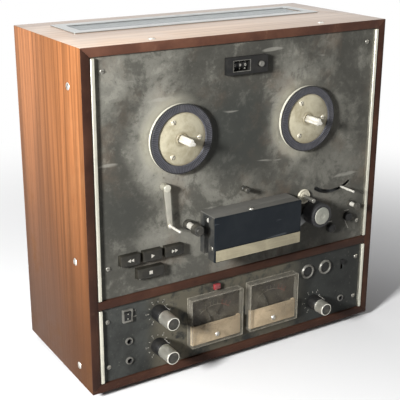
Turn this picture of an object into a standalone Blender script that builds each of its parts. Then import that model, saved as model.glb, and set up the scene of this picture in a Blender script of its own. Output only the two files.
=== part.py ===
"""Reel-to-reel tape deck in a walnut cabinet, upright, with its transport above and its amplifier below.

Metres, +Z up. The front faces -Y and X runs to the right as seen from the front. The origin lies under
the middle of the whole depth, from the knobs' tips to the cabinet's back, at the bottom of the feet.
Places on the front are given as (x, z, out): x from the middle, z from the cabinet's underside, and out
from the face of the panels, towards the user. Shares of a panel are pairs: the first is a share of the
inner half width, from the middle, and the second a share of that panel's height, from its lower edge.
"""
import math

import bmesh
import bpy
from mathutils import Matrix, Vector

# Cabinet
CABINET_WIDTH = 0.4400
CABINET_HEIGHT = 0.4264
CABINET_DEPTH = 0.1990
BOARD = 0.0110
BOARD_EDGE = 0.0006
FEET_HEIGHT = 0.0100
FOOT_RADIUS = 0.0125
FOOT_BOTTOM_RADIUS = 0.0110
FOOT_INSET_X = 0.0350
FOOT_INSET_Y = 0.0260
DIVIDER_BOTTOM = 0.1112
DIVIDER_HEIGHT = 0.0108
DIVIDER_DEPTH = 0.0600
RAIL_SETBACK = 0.0002
SEAT_GAP = 0.0003
SHAFT_GAP = 0.0003
OVERRUN = 0.0020

# Panels, measured from the front edge of the boards
PANEL_RECESS = 0.0030
PLATE = 0.0025
PLATE_MARGIN = 0.0004
CHASSIS_DROP = 0.0140
CHASSIS_SHEET = 0.0020

# Grille in the top
GRILLE_SIDE = 0.0360
GRILLE_WIDTH = 0.0735
GRILLE_REAR = 0.0305
GRILLE_SHEET = 0.0010
GRILLE_SLOT_LENGTH = 0.0400
GRILLE_SLOT_WIDTH = 0.0030
GRILLE_SLOT_PITCH = 0.0060
GRILLE_FRAME = 0.0145
GRILLE_LIP = 0.0060

# Rear cover and connector panel
REAR_INSET = 0.0060
REAR_SHEET = 0.0030
REAR_SLOT_WIDTH = 0.0036
REAR_SLOT_HEIGHT = 0.0560
REAR_SLOT_PITCH = 0.0140
REAR_SLOTS_SIDE = 0.0690
REAR_SLOTS_Z_SHARE = 0.6801
CONNECTOR_WIDTH = 0.2300
CONNECTOR_HEIGHT = 0.0560
CONNECTOR_SHEET = 0.0015
CONNECTOR_Z = 0.0520
LINE_JACKS_X = (-0.0850, -0.0600, -0.0250, 0.0000)
LINE_JACK_PITCH_Z = 0.0220
LINE_JACK_RADIUS = 0.0042
LINE_JACK_BORE = 0.0016
LINE_JACK_LENGTH = 0.0040
INLET_X = 0.0780
INLET_WIDTH = 0.0280
INLET_HEIGHT = 0.0200
INLET_DEPTH = 0.0140
INLET_WALL = 0.0025
INLET_PIN_RADIUS = 0.0015
INLET_PIN_PITCH = 0.0120
INLET_LIP = 0.0030

# Trims and screws
TRIM_WIDTH = 0.0048
TRIM_PROUD = 0.0040
TRIM_EDGE = 0.0010
TRIM_SIDE_GAP = 0.0006
TRIM_END_GAP = 0.0010
SCREW_RADIUS = 0.0031
SCREW_HEAD = 0.0013
SCREW_CROWN_SHARES = (0.7, 0.8)
SIDE_SCREW_DEPTH = 0.0370
SIDE_SCREWS_Z_SHARES = (0.0563, 0.3851, 0.8870)
TOP_SCREW_DEPTH = 0.0160
TOP_SCREW_X_SHARE = 0.5909
DECK_SCREWS_SHARES = (
    (-0.9234, 0.9414),
    (0.9211, 0.9414),
    (-0.9234, 0.1339),
    (0.9258, 0.0852),
)
AMPLIFIER_SCREWS_SHARES = (
    (-0.9378, 0.8084),
    (0.9378, 0.8084),
    (-0.9378, 0.1946),
    (0.9378, 0.1946),
)

# Reel tables
REEL_SHARES = (0.4507, 0.6339)
RECESS_RADIUS = 0.0500
RECESS_DEPTH = 0.0008
TABLE_RADIUS = 0.0429
TABLE_HEIGHT = 0.0072
TABLE_BACK = 0.0010
TABLE_EDGE = 0.0008
DISC_RADIUS = 0.0325
DISC_HEIGHT = 0.0054
DISC_SCREW_RADIUS = 0.0026
DISC_SCREW_HEAD = 0.0012
DISC_SCREW_CIRCLE = 0.0245
DISC_SCREWS = 3
DISC_SCREW_TURN = math.radians(118)
HUB_RADIUS = 0.0075
REEL_SHAFT_RADIUS = 0.0040
REEL_SHAFT_REACH = 0.0180
SPINDLE_RADIUS = 0.0040
SPINDLE_LOBE = 0.0011
SPINDLE_LOBES = 3
SPINDLE_LENGTH = 0.0210
CAP_LENGTH = 0.0080
CAP_PIN_RADIUS = 0.0018
CAP_PIN_LENGTH = 0.0060

# Motors, all of one frame size
MOTOR_RADIUS = 0.0380
MOTOR_LENGTH = 0.0600
MOTOR_BELL = 0.0040
MOTOR_BOSS_RADIUS = 0.0140
MOTOR_BOSS = 0.0020
CAPSTAN_MOTOR_SHARES = (-0.0383, 0.2318)

# Capstan, flywheel, pulley and belt
CAPSTAN_SHARES = (0.4617, 0.2672)
CAPSTAN_RADIUS = 0.0030
CAPSTAN_LENGTH = 0.0230
BUSH_RADIUS = 0.0070
BUSH_FLANGE_RADIUS = 0.0100
BUSH_FLANGE = 0.0030
BUSH_END = 0.0790
FLYWHEEL_RADIUS = 0.0420
FLYWHEEL_WIDTH = 0.0160
FLYWHEEL_RIM = 0.0080
FLYWHEEL_WEB = 0.0060
FLYWHEEL_HUB = 0.0090
PULLEY_RADIUS = 0.0090
PULLEY_FLANGE = 0.0015
PULLEY_SHAFT_RADIUS = 0.0030
PULLEY_SHAFT_REACH = 0.0100
BELT_WIDTH = 0.0060
BELT_THICKNESS = 0.0010

# Pinch roller
ROLLER_ACROSS = 0.0135
ROLLER_DROP = 0.0228
ROLLER_RADIUS = 0.0162
ROLLER_EDGE = 0.0008
ROLLER_BACK = 0.0036
ROLLER_FRONT = 0.0220
ROLLER_CAP_RADIUS = 0.0143
ROLLER_CAP_FRONT = 0.0255
ROLLER_CAP_WALL = 0.0012
STUD_RADIUS = 0.0025
PINCH_ARM_LENGTH = 0.0370
PINCH_ARM_WIDTH = 0.0120
PINCH_ARM_SHEET = 0.0030
PINCH_ARM_OUT = 0.0003
PINCH_PIN_RADIUS = 0.0030

# Tension arms
LEFT_ARM_SHARES = (-0.5598, 0.4414)
LEFT_ARM_ANGLE = math.radians(5.2)
LEFT_ARM_LENGTH = 0.0492
LEFT_PIN_TIP = 0.0320
ARM_BOSS_RADIUS = 0.0047
ARM_BOSS_FRONT = 0.0110
ARM_BOSS_BACK = 0.0003
ARM_SHAFT_RADIUS = 0.0040
ARM_SHEET = 0.0025
ARM_OUT = 0.0058
ARM_WIDTH = 0.0078
ARM_TIP_WIDTH = 0.0062
ARM_PIN_RADIUS = 0.0013
RIGHT_ARM_SHARES = (0.6976, 0.4465)
RIGHT_ARM_ANGLE = math.radians(18.5)
RIGHT_ARM_LENGTH = 0.0536
RIGHT_ARM_OUT = -0.0085
RIGHT_PIN_TIP = 0.0250
ARC_SLOT_WIDTH = 0.0054
ARC_SLOT_HALF = math.radians(32.0)

# Head housing, its cover and the heads
HOUSING_LOW_SHARES = (-0.3091, 0.1036)
HOUSING_HIGH_SHARES = (0.3206, 0.3023)
HOUSING_DEPTH = 0.0340
HOUSING_BACK = 0.0093
HOUSING_ROOF = 0.0035
HOUSING_EDGE = 0.0008
SLOT_WIDTH = 0.0097
COVER_WALL = 0.0020
BACK_RISE = 0.0040
STRIP_HEIGHT = 0.0145
STRIP_SHEET = 0.0006
STRIP_MARGIN = 0.0012
HEAD_WIDTH = 0.0120
HEAD_DEPTH = 0.0080
HEADS_X_SHARES = (-0.1579, -0.0096, 0.1388)
HEAD_DROP = 0.0132
GUIDE_DROP = 0.0107
HEAD_BAR = 0.0025
HEAD_BAR_END = 0.0140
SLOT_GUIDE_RADIUS = 0.0026
SLOT_GUIDES_X_SHARES = (-0.2751, 0.2871)
COVER_SCREW_X_SHARE = -0.0335
COVER_SCREW_RISE = 0.0170

# Guide posts
LEFT_GUIDE_SHARES = (-0.4019, 0.2556)
LEFT_GUIDE_FOOT = (0.0062, 0.0060)
LEFT_GUIDE_CORE = (0.0042, 0.0190)
LEFT_GUIDE_CAP = (0.0068, 0.0300)
RIGHT_GUIDE_SHARES = (0.8565, 0.1823)
RIGHT_GUIDE_FOOT = (0.0050, 0.0030)
RIGHT_GUIDE_CORE = (0.0030, 0.0130)
RIGHT_GUIDE_CAP = (0.0050, 0.0170)
CUE_POST_SHARES = (-0.0096, 0.3654)
CUE_POST_FOOT = (0.0030, 0.0040)
CUE_POST_CORE = (0.0022, 0.0080)
CUE_POST_CAP = (0.0030, 0.0130)

# Tape counter
COUNTER_SHARES = (-0.0096, 0.9046)
COUNTER_WIDTH = 0.0595
COUNTER_HEIGHT = 0.0213
COUNTER_PROUD = 0.0060
COUNTER_EDGE = 0.0008
WINDOW_ACROSS = -0.0085
WINDOW_WIDTH = 0.0240
WINDOW_HEIGHT = 0.0125
DIGIT_RADIUS = 0.0085
DIGIT_WIDTH = 0.0070
DIGIT_PITCH = 0.0076
DIGITS = 3
DIGIT_DROP = 0.0065
DIGIT_AXLE = 0.0012
DIGIT_SIDES = 10
CHEEK = 0.0012
CHEEK_HEIGHT = 0.0060
RESET_ACROSS = 0.0199
RESET_RADIUS = 0.0035
RESET_PROUD = 0.0086
RESET_TRAVEL = 0.0020

# Transport keys
KEY_PITCH_SHARE = 0.1450
KEY_SIDE_SPACE = 0.0043
KEY_ROW_SPACE = 0.0075
KEY_ROW_SHARES = (-0.6498, 0.1581)
STOP_KEY_SHARES = (-0.6651, 0.0862)
STOP_KEY_WIDTH = 0.0360
KEY_PROUD = 0.0070
KEY_DEPTH = 0.0090
KEY_EDGE = 0.0012
KEY_FLANGE = 0.0012
KEY_GAP = 0.0004

# Round black push buttons on the deck
MODE_BUTTONS_SHARES = ((0.8340, 0.1210), (0.6957, 0.0825))
MODE_RADIUS = 0.0058
MODE_PROUD = 0.0065
MODE_DEPTH = 0.0080
MODE_EDGE = 0.0012

# Power rocker
ROCKER_SHARES = (-0.8124, 0.8353)
ROCKER_FRAME_WIDTH = 0.0138
ROCKER_FRAME_HEIGHT = 0.0171
ROCKER_FRAME_PROUD = 0.0028
ROCKER_WIDTH = 0.0088
ROCKER_HEIGHT = 0.0110
ROCKER_DEPTH = 0.0060
ROCKER_PROUD = 0.0036
ROCKER_DISH = 0.0006
ROCKER_TILT = math.radians(7.0)
ROCKER_ROOM = 0.0007

# Jack sockets on the front
JACK_NAMES = ("upper_jack", "lower_jack", "phones_jack")
JACKS_SHARES = ((-0.8038, 0.4810), (-0.8038, 0.2126), (0.8182, 0.2236))
JACK_NUT_RADIUS = 0.0050
JACK_NUT = 0.0022
JACK_BORE = 0.0033
JACK_BARREL = 0.0043
JACK_BODY = 0.0070
JACK_LENGTH = 0.0300

# Knobs: a black ring behind, a silver knob in front
INPUT_NAMES = ("upper_input", "lower_input")
INPUT_KNOBS_SHARES = ((-0.6038, 0.7665), (-0.6067, 0.3074))
OUTPUT_KNOB_SHARES = (0.5775, 0.2914)
RING_RADIUS = 0.0114
RING_LENGTH = 0.0125
RING_FRONT_RADIUS = 0.0104
RING_SLEEVE = 0.0055
RING_SLEEVE_LENGTH = 0.0080
POINTER_WIDTH = 0.0016
POINTER_PROUD = 0.0008
POINTER_ANGLE = math.radians(40)
KNOB_RADIUS = 0.0092
KNOB_FRONT_RADIUS = 0.0089
KNOB_FRONT = 0.0390
OUTPUT_FRONT = 0.0310
KNOB_RIM = 0.0012
KNOB_DISH = 0.0012
KNOB_SHAFT = 0.0035
KNOB_SHAFT_LENGTH = 0.0110
POT_RADIUS = 0.0110
POT_LENGTH = 0.0130

# Record buttons and slide switch
RECORD_BUTTONS_SHARES = ((0.5230, 0.7735), (0.6699, 0.7735))
BEZEL_RADIUS = 0.0105
BEZEL_BORE = 0.0073
BEZEL_PROUD = 0.0028
RECORD_RADIUS = 0.0069
RECORD_PROUD = 0.0016
RECORD_DEPTH = 0.0090
SLIDE_SHARES = (0.8220, 0.7415)
SLIDE_SLOT_WIDTH = 0.0052
SLIDE_SLOT_HEIGHT = 0.0150
SLIDE_LEVER_HEIGHT = 0.0066
SLIDE_PROUD = 0.0030
SLIDE_DEPTH = 0.0060
LAMP_SHARES = (-0.1938, 0.9182)
LAMP_WIDTH = 0.0095
LAMP_HEIGHT = 0.0078
LAMP_PROUD = 0.0045
LAMP_EDGE = 0.0010
LAMP_STEM = 0.0030
LAMP_DEPTH = 0.0090

# Level meters
METER_NAMES = ("left", "right")
METERS_SHARES = ((-0.2129, 0.5130), (0.2187, 0.5130))
METER_SPACE = 0.0117
METER_HEIGHT = 0.0676
METER_PROUD = 0.0120
METER_WALL = 0.0018
METER_EDGE = 0.0006
DIAL_THICKNESS = 0.0040
DIAL_GAP = 0.0004
MASK_HEIGHT = 0.0265
MASK_THICKNESS = 0.0014
MASK_LEG = 0.0040
MASK_ROOM = 0.0030
NEEDLE_PIVOT_RISE = 0.0160
NEEDLE_LENGTH = 0.0400
NEEDLE_WIDTH = 0.0012
NEEDLE_TIP = 0.0006
NEEDLE_THICKNESS = 0.0008
NEEDLE_HUB = 0.0026
NEEDLE_PIN = 0.0009
NEEDLE_REST = math.radians(25.0)
MOVEMENT_RADIUS = 0.0180
MOVEMENT_DEPTH = 0.0180

# Amplifier tray, board and transformer inside the lower part
TRAY_SIDE = 0.0140
TRAY_REAR = 0.0150
TRAY_SHEET = 0.0015
TRAY_WALL = 0.0250
TRAY_SET_BACK = 0.0340
BOARD_LENGTH_SHARE = 0.564
BOARD_WIDTH_SHARE = 0.80
BOARD_SHEET = 0.0016
BOARD_POST = 0.0080
BOARD_POST_RADIUS = 0.0040
BOARD_X_SHARE = 0.128
TRANSFORMER = (0.0800, 0.0620, 0.0680)
TRANSFORMER_X_SHARE = -0.346
CORE_LIP = 0.0080
CAN_RADIUS = 0.0120
CAN_HEIGHT = 0.0350
CANS_X_SHARES = (-0.30, 0.05, 0.38)

LARGE_STEPS = 36
STEPS = 20
SMALL_STEPS = 12
SCREW_STEPS = 8
LOBE_STEPS = 24
MERGE = 0.00001

BASE_Z = FEET_HEIGHT
FRONT_REACH = KNOB_FRONT - PANEL_RECESS
FRONT_Y = -(CABINET_DEPTH - FRONT_REACH) / 2
PANEL_Y = FRONT_Y + PANEL_RECESS
INNER_X = CABINET_WIDTH / 2 - BOARD
DECK_BOTTOM = DIVIDER_BOTTOM + DIVIDER_HEIGHT
DECK_TOP = CABINET_HEIGHT - BOARD
CHASSIS_OUT = -PLATE - CHASSIS_DROP
MOTOR_OUT = CHASSIS_OUT - CHASSIS_SHEET - SEAT_GAP
MOTOR_END = MOTOR_OUT - MOTOR_LENGTH
FLYWHEEL_OUT = -BUSH_END - OVERRUN
FLYWHEEL_BACK = FLYWHEEL_OUT - FLYWHEEL_WIDTH
COVER_BACK = HOUSING_BACK + SLOT_WIDTH
TOWARDS_USER = (math.pi / 2, 0, 0)


def on_deck(shares):
    """Place on the deck plate, (x, z), from its shares."""
    return (shares[0] * INNER_X, DECK_BOTTOM + shares[1] * (DECK_TOP - DECK_BOTTOM))


def on_amplifier(shares):
    """Place on the amplifier plate, (x, z), from its shares."""
    return (shares[0] * INNER_X, BOARD + shares[1] * (DIVIDER_BOTTOM - BOARD))


REEL_X, REEL_Z = on_deck(REEL_SHARES)
REELS = (("supply", -REEL_X), ("takeup", REEL_X))
CAPSTAN = on_deck(CAPSTAN_SHARES)
CAPSTAN_MOTOR = on_deck(CAPSTAN_MOTOR_SHARES)
ROLLER = (CAPSTAN[0] + ROLLER_ACROSS, CAPSTAN[1] - ROLLER_DROP)
LEFT_ARM = on_deck(LEFT_ARM_SHARES)
RIGHT_ARM = on_deck(RIGHT_ARM_SHARES)
HOUSING_LEFT, HOUSING_BOTTOM = on_deck(HOUSING_LOW_SHARES)
HOUSING_RIGHT, HOUSING_TOP = on_deck(HOUSING_HIGH_SHARES)
HOUSING_X = (HOUSING_LEFT + HOUSING_RIGHT) / 2
HOUSING_WIDTH = HOUSING_RIGHT - HOUSING_LEFT
HEADS_X = [share * INNER_X for share in HEADS_X_SHARES]
COUNTER = on_deck(COUNTER_SHARES)
WINDOW_X = COUNTER[0] + WINDOW_ACROSS
RESET_X = COUNTER[0] + RESET_ACROSS
KEY_ROW = on_deck(KEY_ROW_SHARES)
STOP_KEY = on_deck(STOP_KEY_SHARES)
KEY_PITCH = KEY_PITCH_SHARE * INNER_X
KEY_WIDTH = KEY_PITCH - KEY_SIDE_SPACE
KEY_HEIGHT = KEY_ROW[1] - STOP_KEY[1] - KEY_ROW_SPACE
MODE_BUTTONS = [on_deck(shares) for shares in MODE_BUTTONS_SHARES]
ROCKER = on_amplifier(ROCKER_SHARES)
JACKS = [on_amplifier(shares) for shares in JACKS_SHARES]
INPUT_KNOBS = [on_amplifier(shares) for shares in INPUT_KNOBS_SHARES]
OUTPUT_KNOB = on_amplifier(OUTPUT_KNOB_SHARES)
RECORD_BUTTONS = [on_amplifier(shares) for shares in RECORD_BUTTONS_SHARES]
SLIDE = on_amplifier(SLIDE_SHARES)
LAMP = on_amplifier(LAMP_SHARES)
METERS = [on_amplifier(shares) for shares in METERS_SHARES]
METER_WIDTH = METERS[1][0] - METERS[0][0] - METER_SPACE

WALNUT = ("walnut", (0.30, 0.13, 0.06), 0.45, 0.0)
GREY_PLATE = ("grey_plate", (0.30, 0.29, 0.27), 0.45, 0.6)
DARK_PLATE = ("dark_plate", (0.06, 0.06, 0.055), 0.5, 0.4)
SILVER = ("silver", (0.70, 0.69, 0.66), 0.3, 1.0)
STEEL = ("steel", (0.45, 0.45, 0.44), 0.4, 1.0)
BLACK = ("black_plastic", (0.02, 0.02, 0.02), 0.45, 0.0)
RUBBER = ("rubber", (0.03, 0.03, 0.035), 0.8, 0.0)
HOUSING_GREY = ("housing_grey", (0.07, 0.07, 0.07), 0.5, 0.3)
CHAMPAGNE = ("champagne", (0.42, 0.37, 0.25), 0.35, 0.8)
CREAM = ("cream", (0.72, 0.66, 0.48), 0.5, 0.0)
CLEAR = ("clear_plastic", (0.55, 0.50, 0.40), 0.1, 0.0)
RED = ("red_plastic", (0.50, 0.02, 0.02), 0.25, 0.0)


def clear_scene():
    for obj in list(bpy.data.objects):
        bpy.data.objects.remove(obj, do_unlink=True)


def new_collection(name, hidden=False):
    made = bpy.data.collections.new(name)
    bpy.context.scene.collection.children.link(made)
    made.hide_render = hidden
    return made


clear_scene()
PARTS = new_collection("tape_deck")
HELPERS = new_collection("cutters", hidden=True)


def at(x, z, out=0.0):
    """World place of a point on the front: x across, z above the cabinet's underside, out of the panel."""
    return Vector((x, PANEL_Y - out, BASE_Z + z))


def in_cabinet(x, depth, z):
    """World place of a point in the cabinet: depth behind its front edge, z above its underside."""
    return Vector((x, FRONT_Y + depth, BASE_Z + z))


def paint(obj, look):
    name, color, roughness, metallic = look
    mat = bpy.data.materials.new(f"{obj.name}_{name}")
    mat.use_nodes = True
    shader = mat.node_tree.nodes["Principled BSDF"]
    shader.inputs["Base Color"].default_value = (*color, 1.0)
    shader.inputs["Roughness"].default_value = roughness
    shader.inputs["Metallic"].default_value = metallic
    obj.data.materials.clear()
    obj.data.materials.append(mat)


def place(name, mesh, look, location, rotation=(0, 0, 0)):
    """A new object of the deck, or a hidden helper when it has no look."""
    obj = bpy.data.objects.new(name, mesh)
    (PARTS if look else HELPERS).objects.link(obj)
    obj.location = location
    obj.rotation_euler = rotation
    if look:
        paint(obj, look)
    else:
        obj.hide_render = True
        obj.display_type = "WIRE"
    return obj


def mesh_from(name, bm):
    bmesh.ops.recalc_face_normals(bm, faces=bm.faces)
    mesh = bpy.data.meshes.new(name)
    bm.to_mesh(mesh)
    bm.free()
    return mesh


def box(name, size, look, location, edge=0.0, rotation=(0, 0, 0)):
    """A box centred on its location, with an optional narrow bevel on its edges."""
    bm = bmesh.new()
    bmesh.ops.create_cube(bm, size=1.0)
    bmesh.ops.scale(bm, vec=Vector(size), verts=bm.verts)
    if edge:
        bmesh.ops.bevel(bm, geom=bm.edges, offset=edge, segments=1, affect="EDGES", profile=0.5)
    return place(name, mesh_from(name, bm), look, location, rotation)


def front_box(name, size, look, x, z, back, front, edge=0.0):
    """A box on the front, size (width, height), that reaches from out=back to out=front."""
    width, height = size
    return box(name, (width, front - back, height), look, at(x, z, (front + back) / 2), edge)


def bake(obj):
    """Turns the object with its modifiers into a plain mesh object."""
    bpy.context.view_layer.update()
    graph = bpy.context.evaluated_depsgraph_get()
    mesh = bpy.data.meshes.new_from_object(obj.evaluated_get(graph))
    obj.modifiers.clear()
    obj.data = mesh
    return obj


def turned(name, profile, look, location, rotation=TOWARDS_USER, steps=STEPS, ring=False):
    """A turned piece from (radius, height) points. A ring's profile closes on itself."""
    bm = bmesh.new()
    points = [bm.verts.new((radius, 0.0, height)) for radius, height in profile]
    pairs = list(zip(points, points[1:]))
    if ring:
        pairs.append((points[-1], points[0]))
    for first, second in pairs:
        bm.edges.new((first, second))
    mesh = bpy.data.meshes.new(name)
    bm.to_mesh(mesh)
    bm.free()
    obj = place(name, mesh, look, location, rotation)
    screw = obj.modifiers.new("turn", "SCREW")
    screw.axis = "Z"
    screw.steps = steps
    screw.render_steps = steps
    screw.use_merge_vertices = True
    screw.merge_threshold = MERGE
    screw.use_smooth_shade = False
    bake(obj)
    tidy = bmesh.new()
    tidy.from_mesh(obj.data)
    bmesh.ops.recalc_face_normals(tidy, faces=tidy.faces)
    tidy.to_mesh(obj.data)
    tidy.free()
    if look:
        paint(obj, look)
        obj.data.shade_smooth()
        obj.data.set_sharp_from_angle(angle=math.radians(35))
    return obj


def rod(name, radius, look, x, z, back, front, steps=STEPS):
    """A plain rod square to the front, from out=back to out=front."""
    profile = [(0, front - back), (radius, front - back), (radius, 0), (0, 0)]
    return turned(name, profile, look, at(x, z, back), steps=steps)


def circle(x, z, radius, steps=STEPS):
    turn = 2 * math.pi / steps
    return [(x + radius * math.cos(i * turn), z + radius * math.sin(i * turn)) for i in range(steps)]


def rectangle(x, z, width, height):
    right, top = width / 2, height / 2
    return [(x - right, z - top), (x + right, z - top), (x + right, z + top), (x - right, z + top)]


def arc_slot(centre, radius, width, start, end, steps=SMALL_STEPS):
    """Outline of a curved slot with round ends. Angles are counted from straight down, to the right."""
    cx, cz = centre

    def point(r, angle):
        return (cx + r * math.sin(angle), cz - r * math.cos(angle))

    outline = []
    for i in range(steps + 1):
        outline.append(point(radius + width / 2, start + (end - start) * i / steps))
    tip = point(radius, end)
    for i in range(1, steps // 2):
        turn = end + math.pi * i / (steps // 2)
        outline.append((tip[0] + width / 2 * math.sin(turn), tip[1] - width / 2 * math.cos(turn)))
    for i in range(steps + 1):
        outline.append(point(radius - width / 2, end + (start - end) * i / steps))
    tail = point(radius, start)
    for i in range(1, steps // 2):
        turn = start + math.pi + math.pi * i / (steps // 2)
        outline.append((tail[0] + width / 2 * math.sin(turn), tail[1] - width / 2 * math.cos(turn)))
    return outline


def sheet(name, outlines, thickness, look, location, rotation=TOWARDS_USER):
    """A flat plate from a 2D outline and its holes, centred in its thickness on the location."""
    curve = bpy.data.curves.new(name, "CURVE")
    curve.dimensions = "2D"
    curve.fill_mode = "BOTH"
    curve.extrude = thickness / 2
    for outline in outlines:
        spline = curve.splines.new("POLY")
        spline.points.add(len(outline) - 1)
        for point, (x, y) in zip(spline.points, outline):
            point.co = (x, y, 0, 1)
        spline.use_cyclic_u = True
    drawn = bpy.data.objects.new(name + "_outline", curve)
    HELPERS.objects.link(drawn)
    bpy.context.view_layer.update()
    graph = bpy.context.evaluated_depsgraph_get()
    mesh = bpy.data.meshes.new_from_object(drawn.evaluated_get(graph))
    bpy.data.objects.remove(drawn, do_unlink=True)
    bm = bmesh.new()
    bm.from_mesh(mesh)
    bmesh.ops.remove_doubles(bm, verts=bm.verts, dist=MERGE)
    bpy.data.meshes.remove(mesh)
    return place(name, mesh_from(name, bm), look, location, rotation)


def boolean(target, other, operation):
    step = target.modifiers.new(f"{operation.lower()}_{other.name}", "BOOLEAN")
    step.operation = operation
    step.solver = "EXACT"
    step.object = other
    return target


def cut(target, cutter):
    return boolean(target, cutter, "DIFFERENCE")


def fuse(target, other):
    return boolean(target, other, "UNION")


def gather(name, pieces, look):
    """One object from several separate solids of the same kind, keeping their world places."""
    bpy.context.view_layer.update()
    graph = bpy.context.evaluated_depsgraph_get()
    whole = bmesh.new()
    for piece in pieces:
        mesh = bpy.data.meshes.new_from_object(piece.evaluated_get(graph))
        mesh.transform(piece.matrix_world)
        whole.from_mesh(mesh)
        bpy.data.meshes.remove(mesh)
    for piece in pieces:
        bpy.data.objects.remove(piece, do_unlink=True)
    mesh = bpy.data.meshes.new(name)
    whole.to_mesh(mesh)
    whole.free()
    return place(name, mesh, look, (0, 0, 0))


def build_cabinet():
    """The four glued boards with the rail between the panels and their screws, and four loose feet."""
    top = CABINET_HEIGHT
    outer = rectangle(0, top / 2, CABINET_WIDTH, top)
    inner = rectangle(0, top / 2, 2 * INNER_X, top - 2 * BOARD)
    cabinet = sheet("cabinet", [outer, inner], CABINET_DEPTH, WALNUT, in_cabinet(0, CABINET_DEPTH / 2, 0))
    rail_size = (2 * INNER_X + BOARD, DIVIDER_DEPTH, DIVIDER_HEIGHT)
    rail_z = DIVIDER_BOTTOM + DIVIDER_HEIGHT / 2
    fuse(cabinet, box("rail", rail_size, None, in_cabinet(0, DIVIDER_DEPTH / 2 + RAIL_SETBACK, rail_z)))
    length, depth = grille_place()
    vent = (length - 2 * GRILLE_LIP, GRILLE_WIDTH - 2 * GRILLE_LIP, BOARD + 2 * OVERRUN)
    cut(cabinet, box("vent_cutter", vent, None, in_cabinet(0, depth, top - BOARD / 2)))
    heads = []
    for side in (-1, 1):
        for share in SIDE_SCREWS_Z_SHARES:
            spot = in_cabinet(side * CABINET_WIDTH / 2, SIDE_SCREW_DEPTH, share * CABINET_HEIGHT)
            heads.append(screw_head(spot, (0, side * math.pi / 2, 0)))
        spot = in_cabinet(side * TOP_SCREW_X_SHARE * INNER_X, TOP_SCREW_DEPTH, CABINET_HEIGHT)
        heads.append(screw_head(spot, (0, 0, 0)))
    fuse(cabinet, gather("cabinet_screws", heads, None))
    build_feet()


def build_feet():
    profile = [(0, 0), (FOOT_RADIUS, 0), (FOOT_RADIUS, -FEET_HEIGHT / 2)]
    profile += [(FOOT_BOTTOM_RADIUS, -FEET_HEIGHT + SEAT_GAP), (0, -FEET_HEIGHT + SEAT_GAP)]
    for row, depth in (("front", FOOT_INSET_Y), ("rear", CABINET_DEPTH - FOOT_INSET_Y)):
        for side, sign in (("left", -1), ("right", 1)):
            spot = in_cabinet(sign * (CABINET_WIDTH / 2 - FOOT_INSET_X), depth, -SEAT_GAP)
            turned(f"{row}_{side}_foot", profile, RUBBER, spot, rotation=(0, 0, 0), steps=SMALL_STEPS)


def grille_place():
    """The grille's length, and the depth of its middle line."""
    return CABINET_WIDTH - 2 * GRILLE_SIDE, CABINET_DEPTH - GRILLE_REAR - GRILLE_WIDTH / 2


def row_of_slots(length, pitch):
    """Places along a row of slots, centred on zero, as many as fit the length."""
    count = int(length / pitch)
    return [(i - (count - 1) / 2) * pitch for i in range(count)]


def build_grille():
    """The silver ventilation grille on the top, a sheet with a row of narrow slots."""
    length, depth = grille_place()
    outlines = [rectangle(0, 0, length, GRILLE_WIDTH)]
    for x in row_of_slots(length - 2 * GRILLE_FRAME, GRILLE_SLOT_PITCH):
        outlines.append(rectangle(x, 0, GRILLE_SLOT_WIDTH, GRILLE_SLOT_LENGTH))
    spot = in_cabinet(0, depth, CABINET_HEIGHT + SEAT_GAP + GRILLE_SHEET / 2)
    sheet("top_grille", outlines, GRILLE_SHEET, SILVER, spot, rotation=(0, 0, 0))


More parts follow.
